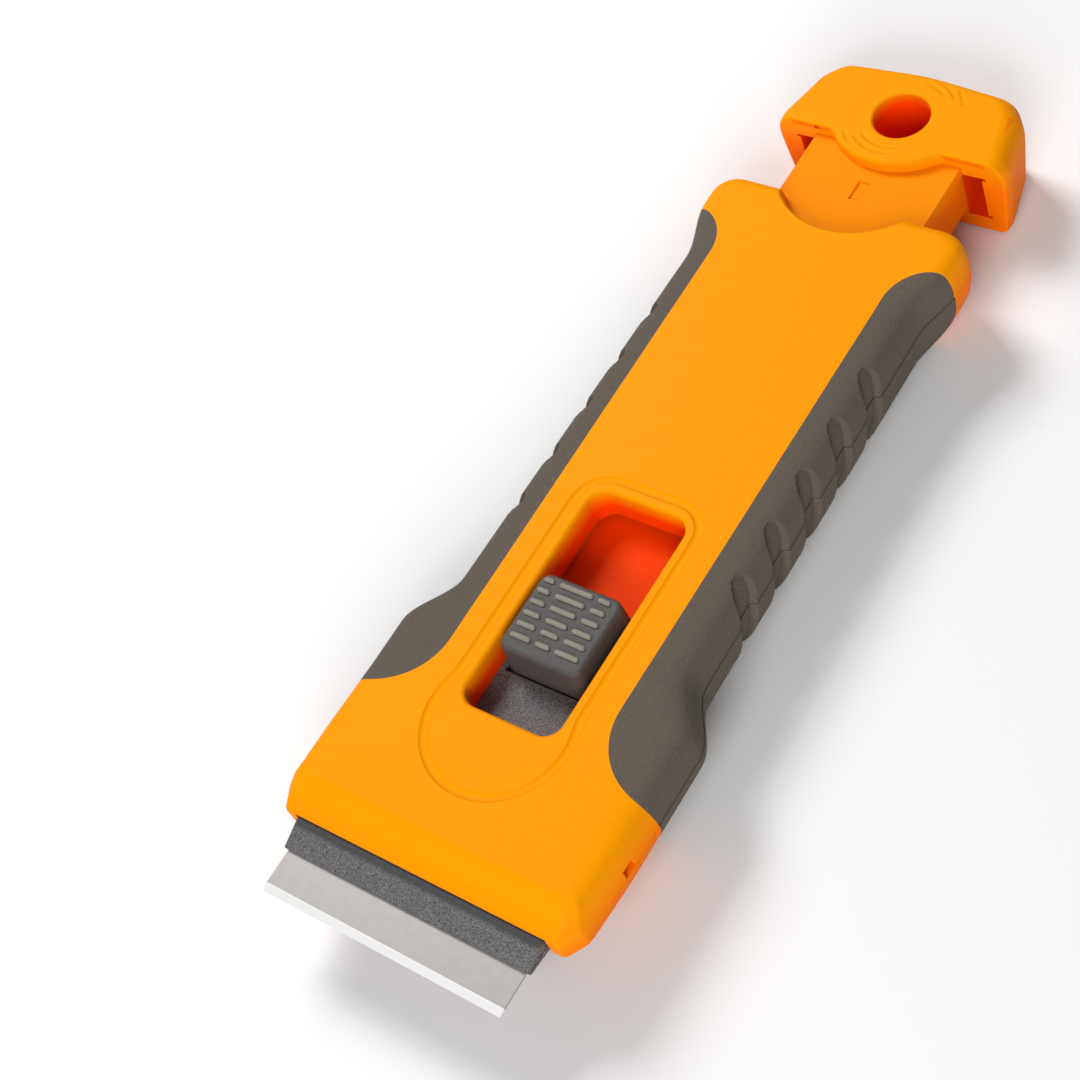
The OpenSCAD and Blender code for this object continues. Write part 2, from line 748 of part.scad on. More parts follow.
module button_spring() {
    strip_t = 0.2;
    crest = core_z0 + 1.2;
    base = pocket_z;
    half = core_y - 1.6;
    color("silver") side_cut([
        [button_y - half, base],
        [button_y - half + 0.9, base],
        [button_y - 0.9, crest - strip_t],
        [button_y + 0.9, crest - strip_t],
        [button_y + half - 0.9, base],
        [button_y + half, base],
        [button_y + half, base + strip_t],
        [button_y + half - 0.8, base + strip_t],
        [button_y + 1, crest],
        [button_y - 1, crest],
        [button_y - half + 0.8, base + strip_t],
        [button_y - half, base + strip_t]
    ], 2.6);
}

// Room that the tube of the hanging hole takes out of the magazine.
module tube_room() {
    translate([0, hole_y, 0])
        cylinder(r = hole_r + tube_t + seat_gap, h = body_h, $fn = 64);
}

module magazine_box() {
    back_y = cap_y + cap_l - cap_wall - 0.6;
    room_hw = mag_hw - 1.9;
    color("orange") difference() {
        block(mag_hw, mouth_y, back_y, mag_z, lid_z);
        block(room_hw, mouth_y + 0.1 - 1, cap_y - 1.2, mag_z + box_floor, lid_z + 1);
        block(mag_hw + 1, mouth_y - 1, store_y, mag_z + box_floor, lid_z + 1);
        block(mag_hw - mag_wall, cap_y + 0.4, back_y - mag_wall, mag_z + box_floor, lid_z + 1);
        tube_room();
        translate([-mag_hw - 1, mouth_y - 1, mag_z - 1])
            cube([1 + hook_t + 0.15, hook_l + 1.4, body_h]);
        translate([pin_x, pin_y, 0]) cylinder(r = pin_r, h = body_h, $fn = 24);
    }
}

module magazine_lid() {
    back_y = cap_y + cap_l - cap_wall - 0.6;
    mark_y = cap_y - 8.5;
    color("orange") difference() {
        block(mag_hw, mouth_y, back_y, lid_z, mag_z1);
        tube_room();
        translate([-mag_hw - 1, mouth_y - 1, lid_z - 1])
            cube([1 + hook_t + 0.15, hook_l + 1.4, mag_z1 - 0.45 - lid_z + 1]);
        translate([pin_x, pin_y, 0]) cylinder(r = pin_r, h = body_h, $fn = 24);
        translate([-1.2, mark_y, mag_z1 - 0.3]) cube([0.4, 3.4, 1]);
        translate([-1.2, mark_y + 3, mag_z1 - 0.3]) cube([2, 0.4, 1]);
    }
}

// Plan of the end cap: straight sides, then drawn in to a rounded back.
module cap_plan(draw = 0) {
    r = 4.5;
    back_hw = cap_hw - 3.6;
    square_hw = cap_hw - 0.4 - draw;
    hull() {
        translate([-square_hw, cap_y]) square([2 * square_hw, 0.5]);
        for (s = [-1, 1]) {
            translate([s * (cap_hw - draw - 2), cap_y + 3.4]) circle(2, $fn = 32);
            translate([s * (back_hw - draw - r), cap_y + cap_l - draw * 0.5 - r]) circle(r, $fn = 32);
        }
        translate([0, cap_y + cap_l - draw * 0.5 - 0.1 - 20]) circle(20.4, $fn = 96);
    }
}

module end_cap() {
    inner_hw = mag_hw + 0.05;
    pocket_x = inner_hw + 1.1;
    pocket_w = 2.6;
    low_draw = 1;
    top_draw = 1.3;
    color("orange") difference() {
        union() {
            difference() {
                union() {
                    intersection() {
                        hull() {
                            translate([0, 0, cap_z]) linear_extrude(0.1) cap_plan(low_draw);
                            translate([0, 0, cap_z + 8.5]) linear_extrude(2.5) cap_plan();
                            translate([0, 0, cap_z1 - 0.1]) linear_extrude(0.1) cap_plan(top_draw);
                        }
                        block(far, cap_y, cap_y + cap_l + 1, 0, body_h);
                    }
                    intersection() {
                        translate([0, cap_y - boss_out + boss_r, mag_z1 + 0.1])
                            cylinder(r = boss_r, h = cap_z1 - mag_z1 - 0.1, $fn = 96);
                        block(boss_r, cap_y - boss_out - 1, hole_y, 0, body_h);
                    }
                }
                block(inner_hw, cap_y - 1, cap_y + cap_l - cap_wall - 0.5,
                    mag_z - 0.05, mag_z1 + 0.05);
                pair() block_at(inner_hw - 0.1, pocket_x + pocket_w, cap_y - 1, cap_y + 8,
                    mag_z - 1.5, mag_z1 - 1.2);
            }
            translate([0, hole_y, cap_z + 1])
                cylinder(r = hole_r + tube_t, h = cap_h - 2, $fn = 64);
        }
        translate([0, hole_y, -1]) cylinder(r = hole_r, h = body_h + 2, $fn = 64);
        for (k = [1 : 3]) translate([0, hole_y, cap_z1 - 0.2]) difference() {
            cylinder(r = hole_r + 1.6 * k + 0.25, h = 1, $fn = 96);
            cylinder(r = hole_r + 1.6 * k - 0.25, h = 3, center = true, $fn = 96);
        }
    }
}

// Box given by its limits across, along and up.
module block_at(x0, x1, y0, y1, z0, z1) {
    translate([x0, y0, z0]) cube([x1 - x0, y1 - y0, z1 - z0]);
}

module gate() {
    color("orange") difference() {
        union() {
            block_at(-mag_hw + 0.2, pin_x, gate_y0, gate_y1, gate_z0, gate_z1);
            translate([pin_x, pin_y, gate_z0])
                cylinder(r = knuckle_r, h = gate_z1 - gate_z0, $fn = 32);
            block_at(-mag_hw, -mag_hw + hook_t, gate_y0, gate_y0 + hook_l, hook_z0, hook_z1);
        }
        translate([pin_x, pin_y, 0]) cylinder(r = pin_r + run_gap, h = body_h, $fn = 24);
    }
}

module gate_pin() {
    color("silver") translate([pin_x, pin_y, mag_z + 0.1])
        cylinder(r = pin_r, h = mag_h - 0.2, $fn = 24);
}

// Spare blades lie flat on each other, long side along the magazine.
module spare_blade(i) {
    shift = 0.25 * (i % 2);
    color("silver") translate([-blade_w / 2 + shift, store_y + 0.3 + blade_l / 2,
        mag_z + box_floor + (i + 1) * blade_t])
        rotate([0, 0, -90]) blade_form();
}

upper_shell();
lower_shell();
upper_grip_left();
upper_grip_right();
lower_grip_left();
lower_grip_right();
shell_screws();
blade_carriage();
lower_jaw();
jaw_screws();
scraper_blade();
thumb_button();
button_core();
button_spring();
magazine_box();
magazine_lid();
end_cap();
gate();
gate_pin();
spare_blade(0);  // spare_blade_1
spare_blade(1);  // spare_blade_2
spare_blade(2);  // spare_blade_3
spare_blade(3);  // spare_blade_4
spare_blade(4);  // spare_blade_5
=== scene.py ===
"""Looks of the ceramic hob scraper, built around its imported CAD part.

Lengths are in millimetres until a mesh is handed over, which turns them into metres.
+Y runs towards the tail, +Z is the thumb side, and the underside lies on z = 0.
"""

import logging
import math
from collections.abc import Iterable, Sequence
from dataclasses import dataclass, field
from enum import Enum

import bmesh
import bpy
from mathutils import Matrix, Vector


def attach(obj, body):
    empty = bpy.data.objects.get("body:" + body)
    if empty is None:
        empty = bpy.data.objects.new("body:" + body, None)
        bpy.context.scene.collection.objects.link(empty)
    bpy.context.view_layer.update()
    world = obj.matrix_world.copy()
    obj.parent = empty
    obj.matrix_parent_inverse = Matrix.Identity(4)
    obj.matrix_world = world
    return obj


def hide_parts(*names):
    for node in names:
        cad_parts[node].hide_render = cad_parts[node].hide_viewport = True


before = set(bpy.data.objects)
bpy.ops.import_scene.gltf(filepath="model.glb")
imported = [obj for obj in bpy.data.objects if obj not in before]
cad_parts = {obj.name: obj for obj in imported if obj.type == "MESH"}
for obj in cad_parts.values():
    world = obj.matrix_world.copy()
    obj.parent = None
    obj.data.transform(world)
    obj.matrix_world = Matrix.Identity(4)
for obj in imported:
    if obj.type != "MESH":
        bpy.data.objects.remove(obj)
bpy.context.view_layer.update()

LOG = logging.getLogger("scraper")
MM = 0.001
Point = tuple[float, float]
Outline = list[Point]
Place = tuple[float, float, float]
Tint = tuple[float, float, float]
# Reach of the cutters that run past the part, in millimetres
FAR = 40.0


class Body(str, Enum):
    """Moving bodies of the part."""

    HANDLE = "handle"
    CARRIAGE = "carriage"
    BUTTON = "button"
    MAGAZINE = "magazine"


class Cut(str, Enum):
    """Ways in which one mesh works on another."""

    TAKE = "DIFFERENCE"
    KEEP = "INTERSECT"
    JOIN = "UNION"


def ease(t: float) -> float:
    """Smooth step from 0 to 1 while t runs from 0 to 1."""
    u = min(1.0, max(0.0, t))
    return u * u * (3 - 2 * u)


def table(z: float, rows: Sequence[Point]) -> float:
    """Value at z in a table of (place, value) rows, straight between rows."""
    if z <= rows[0][0]:
        return rows[0][1]
    for (z0, v0), (z1, v1) in zip(rows, rows[1:]):
        if z <= z1:
            return v0 + (v1 - v0) * (z - z0) / (z1 - z0)
    return rows[-1][1]


# Outlines


def resample(points: Outline, count: int) -> Outline:
    """Spreads points evenly along a closed outline.

    Args:
        points: Corners of the outline, in order.
        count: Number of points wanted.

    Returns:
        The new points.
    """
    loop = points + [points[0]]
    lengths = [math.dist(a, b) for a, b in zip(loop, loop[1:])]
    step = sum(lengths) / count
    result: Outline = []
    index, gone = 0, 0.0
    for i in range(count):
        target = i * step
        while index < len(lengths) - 1 and gone + lengths[index] <= target:
            gone += lengths[index]
            index += 1
        t = (target - gone) / lengths[index] if lengths[index] else 0.0
        (ax, ay), (bx, by) = loop[index], loop[index + 1]
        result.append((ax + (bx - ax) * t, ay + (by - ay) * t))
    return result


def soften(points: Outline, rounds: int) -> Outline:
    """Rounds a closed outline's corners by averaging neighbours a number of times."""
    for _ in range(rounds):
        points = [
            (
                (points[i - 1][0] + 2 * points[i][0] + points[(i + 1) % len(points)][0]) / 4,
                (points[i - 1][1] + 2 * points[i][1] + points[(i + 1) % len(points)][1]) / 4,
            )
            for i in range(len(points))
        ]
    return points


def rounded(corners: Sequence[tuple[float, float, float]], steps: int = 8) -> Outline:
    """Closed outline with a round at each corner.

    Args:
        corners: (x, y, radius) of each corner, anticlockwise.
        steps: Segments in each round.

    Returns:
        The outline's points.
    """
    result: Outline = []
    count = len(corners)
    for i, (x, y, r) in enumerate(corners):
        here = Vector((x, y))
        back = (Vector(corners[i - 1][:2]) - here).normalized()
        ahead = (Vector(corners[(i + 1) % count][:2]) - here).normalized()
        half = back.angle(ahead) / 2
        if r < 1e-6 or half > math.pi / 2 - 1e-3:
            result.append((x, y))
            continue
        reach = r / math.tan(half)
        centre = here + (back + ahead).normalized() * r / math.sin(half)
        start = here + back * reach - centre
        turn = start.angle_signed(here + ahead * reach - centre)
        for k in range(steps + 1):
            a = -turn * k / steps
            result.append(
                (
                    centre.x + start.x * math.cos(a) - start.y * math.sin(a),
                    centre.y + start.x * math.sin(a) + start.y * math.cos(a),
                )
            )
    return result


def slab(half_x: float, y0: float, y1: float, radius: float, steps: int = 8) -> Outline:
    """Rounded rectangle across the centre line, from y0 to y1."""
    return rounded(
        [(-half_x, y0, radius), (half_x, y0, radius), (half_x, y1, radius), (-half_x, y1, radius)],
        steps,
    )


def arc_points(x: float, y: float, radius: float, start: float, stop: float, steps: int) -> Outline:
    """Points along an arc between two angles in degrees, both ends included."""
    turns = [math.radians(start + (stop - start) * k / steps) for k in range(steps + 1)]
    return [(x + radius * math.cos(a), y + radius * math.sin(a)) for a in turns]


def circle(x: float, y: float, radius: float, count: int = 64) -> Outline:
    """Points round a circle."""
    return [
        (x + radius * math.cos(2 * math.pi * i / count), y + radius * math.sin(2 * math.pi * i / count))
        for i in range(count)
    ]


# Meshes


class Solid:
    """A mesh under construction, in millimetres until it is handed over."""

    def __init__(self, name: str, bm: bmesh.types.BMesh) -> None:
        """Keeps a closed bmesh under a name."""
        self.name = name
        self.bm = bm

    @classmethod
    def loft(cls, name: str, rings: Sequence[Sequence[Sequence[float]]], closed: bool = False) -> "Solid":
        """Skins a row of rings that have the same number of points.

        Args:
            name: Name of the mesh.
            rings: Rings of (x, y, z) points.
            closed: Joins the last ring to the first, in place of two end faces.

        Returns:
            The closed solid.
        """
        bm = bmesh.new()
        made = bmesh.ops.create_circle(bm, cap_ends=False, segments=len(rings[0]), radius=1.0)
        verts = list(made["verts"])
        for vert, place in zip(verts, rings[0]):
            vert.co = place
        first = edges = list(bm.edges)
        for ring in rings[1:]:
            grown = bmesh.ops.extrude_edge_only(bm, edges=edges)["geom"]
            fresh = {v for v in grown if isinstance(v, bmesh.types.BMVert)}
            pairs = {}
            for vert in verts:
                for edge in vert.link_edges:
                    other = edge.other_vert(vert)
                    if other in fresh:
                        pairs[vert] = other
            verts = [pairs[v] for v in verts]
            for vert, place in zip(verts, ring):
                vert.co = place
            edges = [
                e for e in grown
                if isinstance(e, bmesh.types.BMEdge) and all(v in fresh for v in e.verts)
            ]
        if closed:
            bmesh.ops.bridge_loops(bm, edges=first + edges)
        else:
            bmesh.ops.holes_fill(bm, edges=first, sides=0)
            bmesh.ops.holes_fill(bm, edges=edges, sides=0)
        bmesh.ops.recalc_face_normals(bm, faces=bm.faces)
        return cls(name, bm)

    @classmethod
    def prism(cls, name: str, outline: Outline, z0: float, z1: float) -> "Solid":
        """Upright prism on a plan outline."""
        return cls.loft(name, [[(x, y, z) for x, y in outline] for z in (z0, z1)])

    @classmethod
    def bar(cls, name: str, outline: Outline, x0: float, x1: float) -> "Solid":
        """Prism across the handle on an upright (y, z) outline."""
        return cls.loft(name, [[(x, y, z) for y, z in outline] for x in (x0, x1)])

    @classmethod
    def box(cls, name: str, x: Point, y: Point, z: Point) -> "Solid":
        """Box between limits along each axis."""
        bm = bmesh.new()
        bmesh.ops.create_cube(bm, size=1.0)
        middle = Vector(((x[0] + x[1]) / 2, (y[0] + y[1]) / 2, (z[0] + z[1]) / 2))
        size = (x[1] - x[0], y[1] - y[0], z[1] - z[0])
        bmesh.ops.scale(bm, vec=size, verts=bm.verts)
        bmesh.ops.translate(bm, vec=middle, verts=bm.verts)
        return cls(name, bm)

    @classmethod
    def across(cls, name: str, half: float, y: Point, z: Point) -> "Solid":
        """Box of a half width across the centre plane."""
        return cls.box(name, (-half, half), y, z)

    @classmethod
    def node(cls, name: str) -> "Solid":
        """Copy of a CAD node's mesh, with its flat faces made whole again."""
        bm = bmesh.new()
        bm.from_mesh(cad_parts[name].data)
        bmesh.ops.scale(bm, vec=(1 / MM,) * 3, verts=bm.verts)
        bmesh.ops.remove_doubles(bm, verts=bm.verts, dist=1e-4)
        bmesh.ops.dissolve_limit(bm, angle_limit=math.radians(0.5), verts=bm.verts, edges=bm.edges)
        bmesh.ops.recalc_face_normals(bm, faces=bm.faces)
        return cls(name, bm)

    def copy(self) -> "Solid":
        """Second copy of the solid."""
        return Solid(self.name, self.bm.copy())

    def mirrored(self) -> "Solid":
        """Copy on the other side of the centre plane."""
        twin = self.copy()
        bmesh.ops.scale(twin.bm, vec=(-1, 1, 1), verts=twin.bm.verts)
        bmesh.ops.reverse_faces(twin.bm, faces=twin.bm.faces)
        return twin

    def bevel(self, width: float, segments: int = 2, least: float = 30.0) -> "Solid":
        """Rounds the edges that turn by more than an angle.

        Args:
            width: Width of the round.
            segments: Segments across it.
            least: Least turn of a rounded edge, in degrees.

        Returns:
            The same solid.
        """
        sharp = [
            e for e in self.bm.edges
            if len(e.link_faces) == 2 and e.calc_face_angle(0.0) > math.radians(least)
        ]
        bmesh.ops.bevel(
            self.bm, geom=sharp, offset=width, offset_type="OFFSET", segments=segments,
            profile=0.5, affect="EDGES", clamp_overlap=True, material=-1,
        )
        bmesh.ops.remove_doubles(self.bm, verts=self.bm.verts, dist=1e-4)
        bmesh.ops.recalc_face_normals(self.bm, faces=self.bm.faces)
        return self

    def to_object(self, scale: float = 1.0) -> bpy.types.Object:
        """Object that holds a copy of the mesh at a scale."""
        mesh = bpy.data.meshes.new(self.name)
        self.bm.to_mesh(mesh)
        mesh.transform(Matrix.Diagonal((scale, scale, scale, 1)))
        obj = bpy.data.objects.new(self.name, mesh)
        bpy.context.scene.collection.objects.link(obj)
        return obj

    def work(self, how: Cut, *others: "Solid") -> "Solid":
        """Cuts, keeps or joins with other solids, one after another, and returns itself."""
        for other in others:
            mine, theirs = self.to_object(), other.to_object()
            change = mine.modifiers.new("work", "BOOLEAN")
            change.operation = how.value
            change.solver = "EXACT"
            change.object = theirs
            graph = bpy.context.evaluated_depsgraph_get()
            result = bpy.data.meshes.new_from_object(mine.evaluated_get(graph))
            self.bm.free()
            self.bm = bmesh.new()
            self.bm.from_mesh(result)
            for obj in (mine, theirs):
                data = obj.data
                bpy.data.objects.remove(obj)
                bpy.data.meshes.remove(data)
            bpy.data.meshes.remove(result)
        bmesh.ops.remove_doubles(self.bm, verts=self.bm.verts, dist=1e-4)
        return self

    def hand_over(
        self, look: "Look", body: Body, nodes: Sequence[str], smooth: float = 35.0
    ) -> bpy.types.Object:
        """Turns the solid into a finished piece.

        Args:
            look: Finish of the piece.
            body: Moving body that it rides on.
            nodes: CAD nodes that it stands for.
            smooth: Greatest turn between faces that shade as one surface, in degrees.

        Returns:
            The finished object.
        """
        bmesh.ops.recalc_face_normals(self.bm, faces=self.bm.faces)
        obj = self.to_object(MM)
        obj.data.shade_smooth()
        obj.data.set_sharp_from_angle(angle=math.radians(smooth))
        even = obj.modifiers.new("even", "WEIGHTED_NORMAL")
        even.keep_sharp = True
        even.weight = 60
        obj.data.materials.append(look.material())
        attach(obj, body.value)
        if nodes:
            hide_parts(*nodes)
        LOG.info("%s: %d faces", obj.name, len(obj.data.polygons))
        return obj


# Finishes


@dataclass(frozen=True)
class PaintedLight:
    """Painted shade and highlights: a tint that comes in between two heights, given in metres: none at start
    and all of it at end.
    """

    start: float
    end: float
    tint: Tint


# Painted shade: the shell's sides turn redder lower down, where they lie in shade.
FLANK_PAINTED_SHADE = PaintedLight(0.0148, 0.0095, (1.0, 0.2, 0.0))
# Painted shade: deeper red down in the window and the cap's inside, where the plastic faces itself.
HOLLOW_PAINTED_SHADE = PaintedLight(0.0157, 0.0128, (0.95, 0.06, 0.0))
# Middle and half sizes in metres of the thumb window and of the cap's inside, where painted shade turns the
# plastic deep red with depth
SHADED_HOLLOWS = (
    ((0.0, -0.0172, 0.0125), (0.0086, 0.0189, 0.0034)),
    ((0.0, 0.0763, 0.0075), (0.0162, 0.0049, 0.0072)),
)
# Ground edge of the blades: pale ground steel, with a painted reflection off its bevel facet.
GROUND_STEEL_AND_SHEEN = (0.95, 0.95, 0.94)


@dataclass(frozen=True)
class Look:
    """A procedural finish that stands for one of the record's material slots."""

    slot: str
    color: Tint
    dark: Tint
    rough: float
    metal: float = 0.0
    grain: float = 900.0
    bump: float = 0.1
    speckle: float = 0.5
    shine: float = 0.4
    # Paints shade: redder lower down and in the hollows
    deep: bool = False
    strip: float | None = None
    # Painted light over a band of heights: a highlight on the button's rib tops, shade on the jaw's top
    crown_highlight_and_shade: PaintedLight | None = None

    def material(self) -> bpy.types.Material:
        """Makes the material once and returns it.

        Returns:
            The material, with noise for its grain in object coordinates.
        """
        name = f"look_{self.slot}"
        if name in bpy.data.materials:
            return bpy.data.materials[name]
        made = bpy.data.materials.new(name)
        made.use_nodes = True
        tree = made.node_tree
        shader = tree.nodes["Principled BSDF"]
        shader.inputs["Roughness"].default_value = self.rough
        shader.inputs["Metallic"].default_value = self.metal
        shader.inputs["Specular IOR Level"].default_value = self.shine
        place = tree.nodes.new("ShaderNodeTexCoord")
        split = tree.nodes.new("ShaderNodeSeparateXYZ")
        tree.links.new(place.outputs["Object"], split.inputs["Vector"])
        noise = tree.nodes.new("ShaderNodeTexNoise")
        noise.inputs["Scale"].default_value = self.grain
        noise.inputs["Detail"].default_value = 3.0
        tree.links.new(place.outputs["Object"], noise.inputs["Vector"])
        ramp = tree.nodes.new("ShaderNodeValToRGB")
        ramp.color_ramp.elements[0].position = 0.5 - self.speckle / 2
        ramp.color_ramp.elements[1].position = 0.5 + self.speckle / 2
        ramp.color_ramp.elements[0].color = (*self.dark, 1)
        ramp.color_ramp.elements[1].color = (*self.color, 1)
        tree.links.new(noise.outputs["Fac"], ramp.inputs["Fac"])
        color = ramp.outputs["Color"]
        # Painted shade, redder lower down and in the hollows
        if self.deep:
            color = self._paint_shade(tree, split, color)
        # Ground edge strip: paler steel with a painted reflection off its bevel
        if self.strip is not None:
            color = self._tint(tree, self._ahead(tree, split), color, GROUND_STEEL_AND_SHEEN)
        # Painted highlight on the button's rib tops, painted shade on the jaw's top
        if self.crown_highlight_and_shade is not None:
            color = self._tint(tree, self._rise(tree, split, self.crown_highlight_and_shade), color, self.crown_highlight_and_shade.tint)
        tree.links.new(color, shader.inputs["Base Color"])
        bump = tree.nodes.new("ShaderNodeBump")
        bump.inputs["Strength"].default_value = self.bump
        bump.inputs["Distance"].default_value = 0.0002
        tree.links.new(noise.outputs["Fac"], bump.inputs["Height"])
        tree.links.new(bump.outputs["Normal"], shader.inputs["Normal"])
        return made

    def _paint_shade(
        self, tree: bpy.types.NodeTree, split: bpy.types.Node, color: bpy.types.NodeSocket
    ) -> bpy.types.NodeSocket:
        """Paints shade into the colour: redder with depth under the top face, and more so in the window and
        the cap's inside.

        Args:
            tree: Node tree of the material.
            split: Node that gives the place's three coordinates.
            color: Colour at the top face.

        Returns:
            The mixed colour.
        """
        color = self._tint(tree, self._rise(tree, split, FLANK_PAINTED_SHADE), color, FLANK_PAINTED_SHADE.tint)
        hollows = [self._inside(tree, split, middle, half) for middle, half in SHADED_HOLLOWS]
        either = self._math(tree, "MAXIMUM", *hollows)
        share = self._math(tree, "MULTIPLY", self._rise(tree, split, HOLLOW_PAINTED_SHADE), either)
        return self._tint(tree, share, color, HOLLOW_PAINTED_SHADE.tint)

    def _inside(
        self, tree: bpy.types.NodeTree, split: bpy.types.Node, middle: Place, half: Place
    ) -> bpy.types.NodeSocket:
        """Mask of one box of space.

        Args:
            tree: Node tree of the material.
            split: Node that gives the place's three coordinates.
            middle: Middle of the box in metres.
            half: Half sizes of the box in metres.

        Returns:
            A value that is 1 inside the box and 0 outside.
        """
        masks = []
        for axis, at, reach in zip("XYZ", middle, half):
            near = tree.nodes.new("ShaderNodeMath")
            near.operation = "COMPARE"
            near.inputs[1].default_value = at
            near.inputs[2].default_value = reach
            tree.links.new(split.outputs[axis], near.inputs[0])
            masks.append(near.outputs["Value"])
        return self._math(tree, "MULTIPLY", self._math(tree, "MULTIPLY", *masks[:2]), masks[2])

    def _rise(
        self, tree: bpy.types.NodeTree, split: bpy.types.Node, painted: PaintedLight
    ) -> bpy.types.NodeSocket:
        """Value that runs from 0 at a painted band's start to 1 at its end."""
        rise = tree.nodes.new("ShaderNodeMapRange")
        rise.inputs["From Min"].default_value = painted.start
        rise.inputs["From Max"].default_value = painted.end
        tree.links.new(split.outputs["Z"], rise.inputs["Value"])
        return rise.outputs["Result"]

    def _ahead(self, tree: bpy.types.NodeTree, split: bpy.types.Node) -> bpy.types.NodeSocket:
        """Mask of what lies in front of y = strip metres, where the edge is ground and the reflection off its
        bevel is painted.
        """
        less = tree.nodes.new("ShaderNodeMath")
        less.operation = "LESS_THAN"
        less.inputs[1].default_value = float(self.strip)
        tree.links.new(split.outputs["Y"], less.inputs[0])
        return less.outputs["Value"]

    def _math(
        self, tree: bpy.types.NodeTree, how: str, one: bpy.types.NodeSocket, other: bpy.types.NodeSocket
    ) -> bpy.types.NodeSocket:
        """Result of one operation on two values."""
        node = tree.nodes.new("ShaderNodeMath")
        node.operation = how
        tree.links.new(one, node.inputs[0])
        tree.links.new(other, node.inputs[1])
        return node.outputs["Value"]

    def _tint(
        self, tree: bpy.types.NodeTree, share: bpy.types.NodeSocket, color: bpy.types.NodeSocket, tint: Tint
    ) -> bpy.types.NodeSocket:
        """Lays a tint over a colour by a share.

        Args:
            tree: Node tree of the material.
            share: Share of the tint, from 0 to 1.
            color: Colour under the tint.
            tint: The tint.

        Returns:
            The mixed colour.
        """
        mix = tree.nodes.new("ShaderNodeMix")
        mix.data_type = "RGBA"
        mix.inputs["B"].default_value = (*tint, 1)
        tree.links.new(share, mix.inputs["Factor"])
        tree.links.new(color, mix.inputs["A"])
        return mix.outputs["Result"]


# The orange shell gets painted shade, redder lower down and in its hollows.
ORANGE = Look(
    "orange_shell", (1.0, 0.345, 0.0), (0.98, 0.325, 0.0), 0.55, grain=1500, bump=0.03, shine=0.04,
    deep=True,
)
RUBBER = Look("grip_rubber", (0.15, 0.125, 0.1), (0.095, 0.078, 0.062), 0.85, grain=5200, bump=0.4, shine=0.2)
# The button carries a painted highlight: its rib tops are lighter.
BUTTON = Look(
    "button_rubber", (0.1, 0.092, 0.086), (0.052, 0.049, 0.046), 0.52, grain=5600, bump=0.5,
    crown_highlight_and_shade=PaintedLight(0.01722, 0.0174, (0.26, 0.23, 0.19)),
)
# The jaw carries painted shade: darker on its top band near the body.
JAW = Look(
    "jaw_grey", (0.24, 0.235, 0.235), (0.035, 0.033, 0.036), 0.5, 0.2, grain=5200, bump=0.6, speckle=0.4,
    crown_highlight_and_shade=PaintedLight(0.0125, 0.0127, (0.06, 0.058, 0.06)),
)
# The blades' edge strip is painted pale, partly ground steel and partly a painted reflection off its bevel.
BLADE = Look(
    "blade_steel", (0.42, 0.39, 0.375), (0.385, 0.36, 0.345), 0.45, 0.3, grain=700, bump=0.02,
    strip=-0.06795,
)
STEEL = Look("fastener_steel", (0.55, 0.55, 0.54), (0.45, 0.45, 0.44), 0.35, 1.0)
INNER = Look("inner_plastic", (0.05, 0.05, 0.05), (0.04, 0.04, 0.04), 0.6)


# Handle


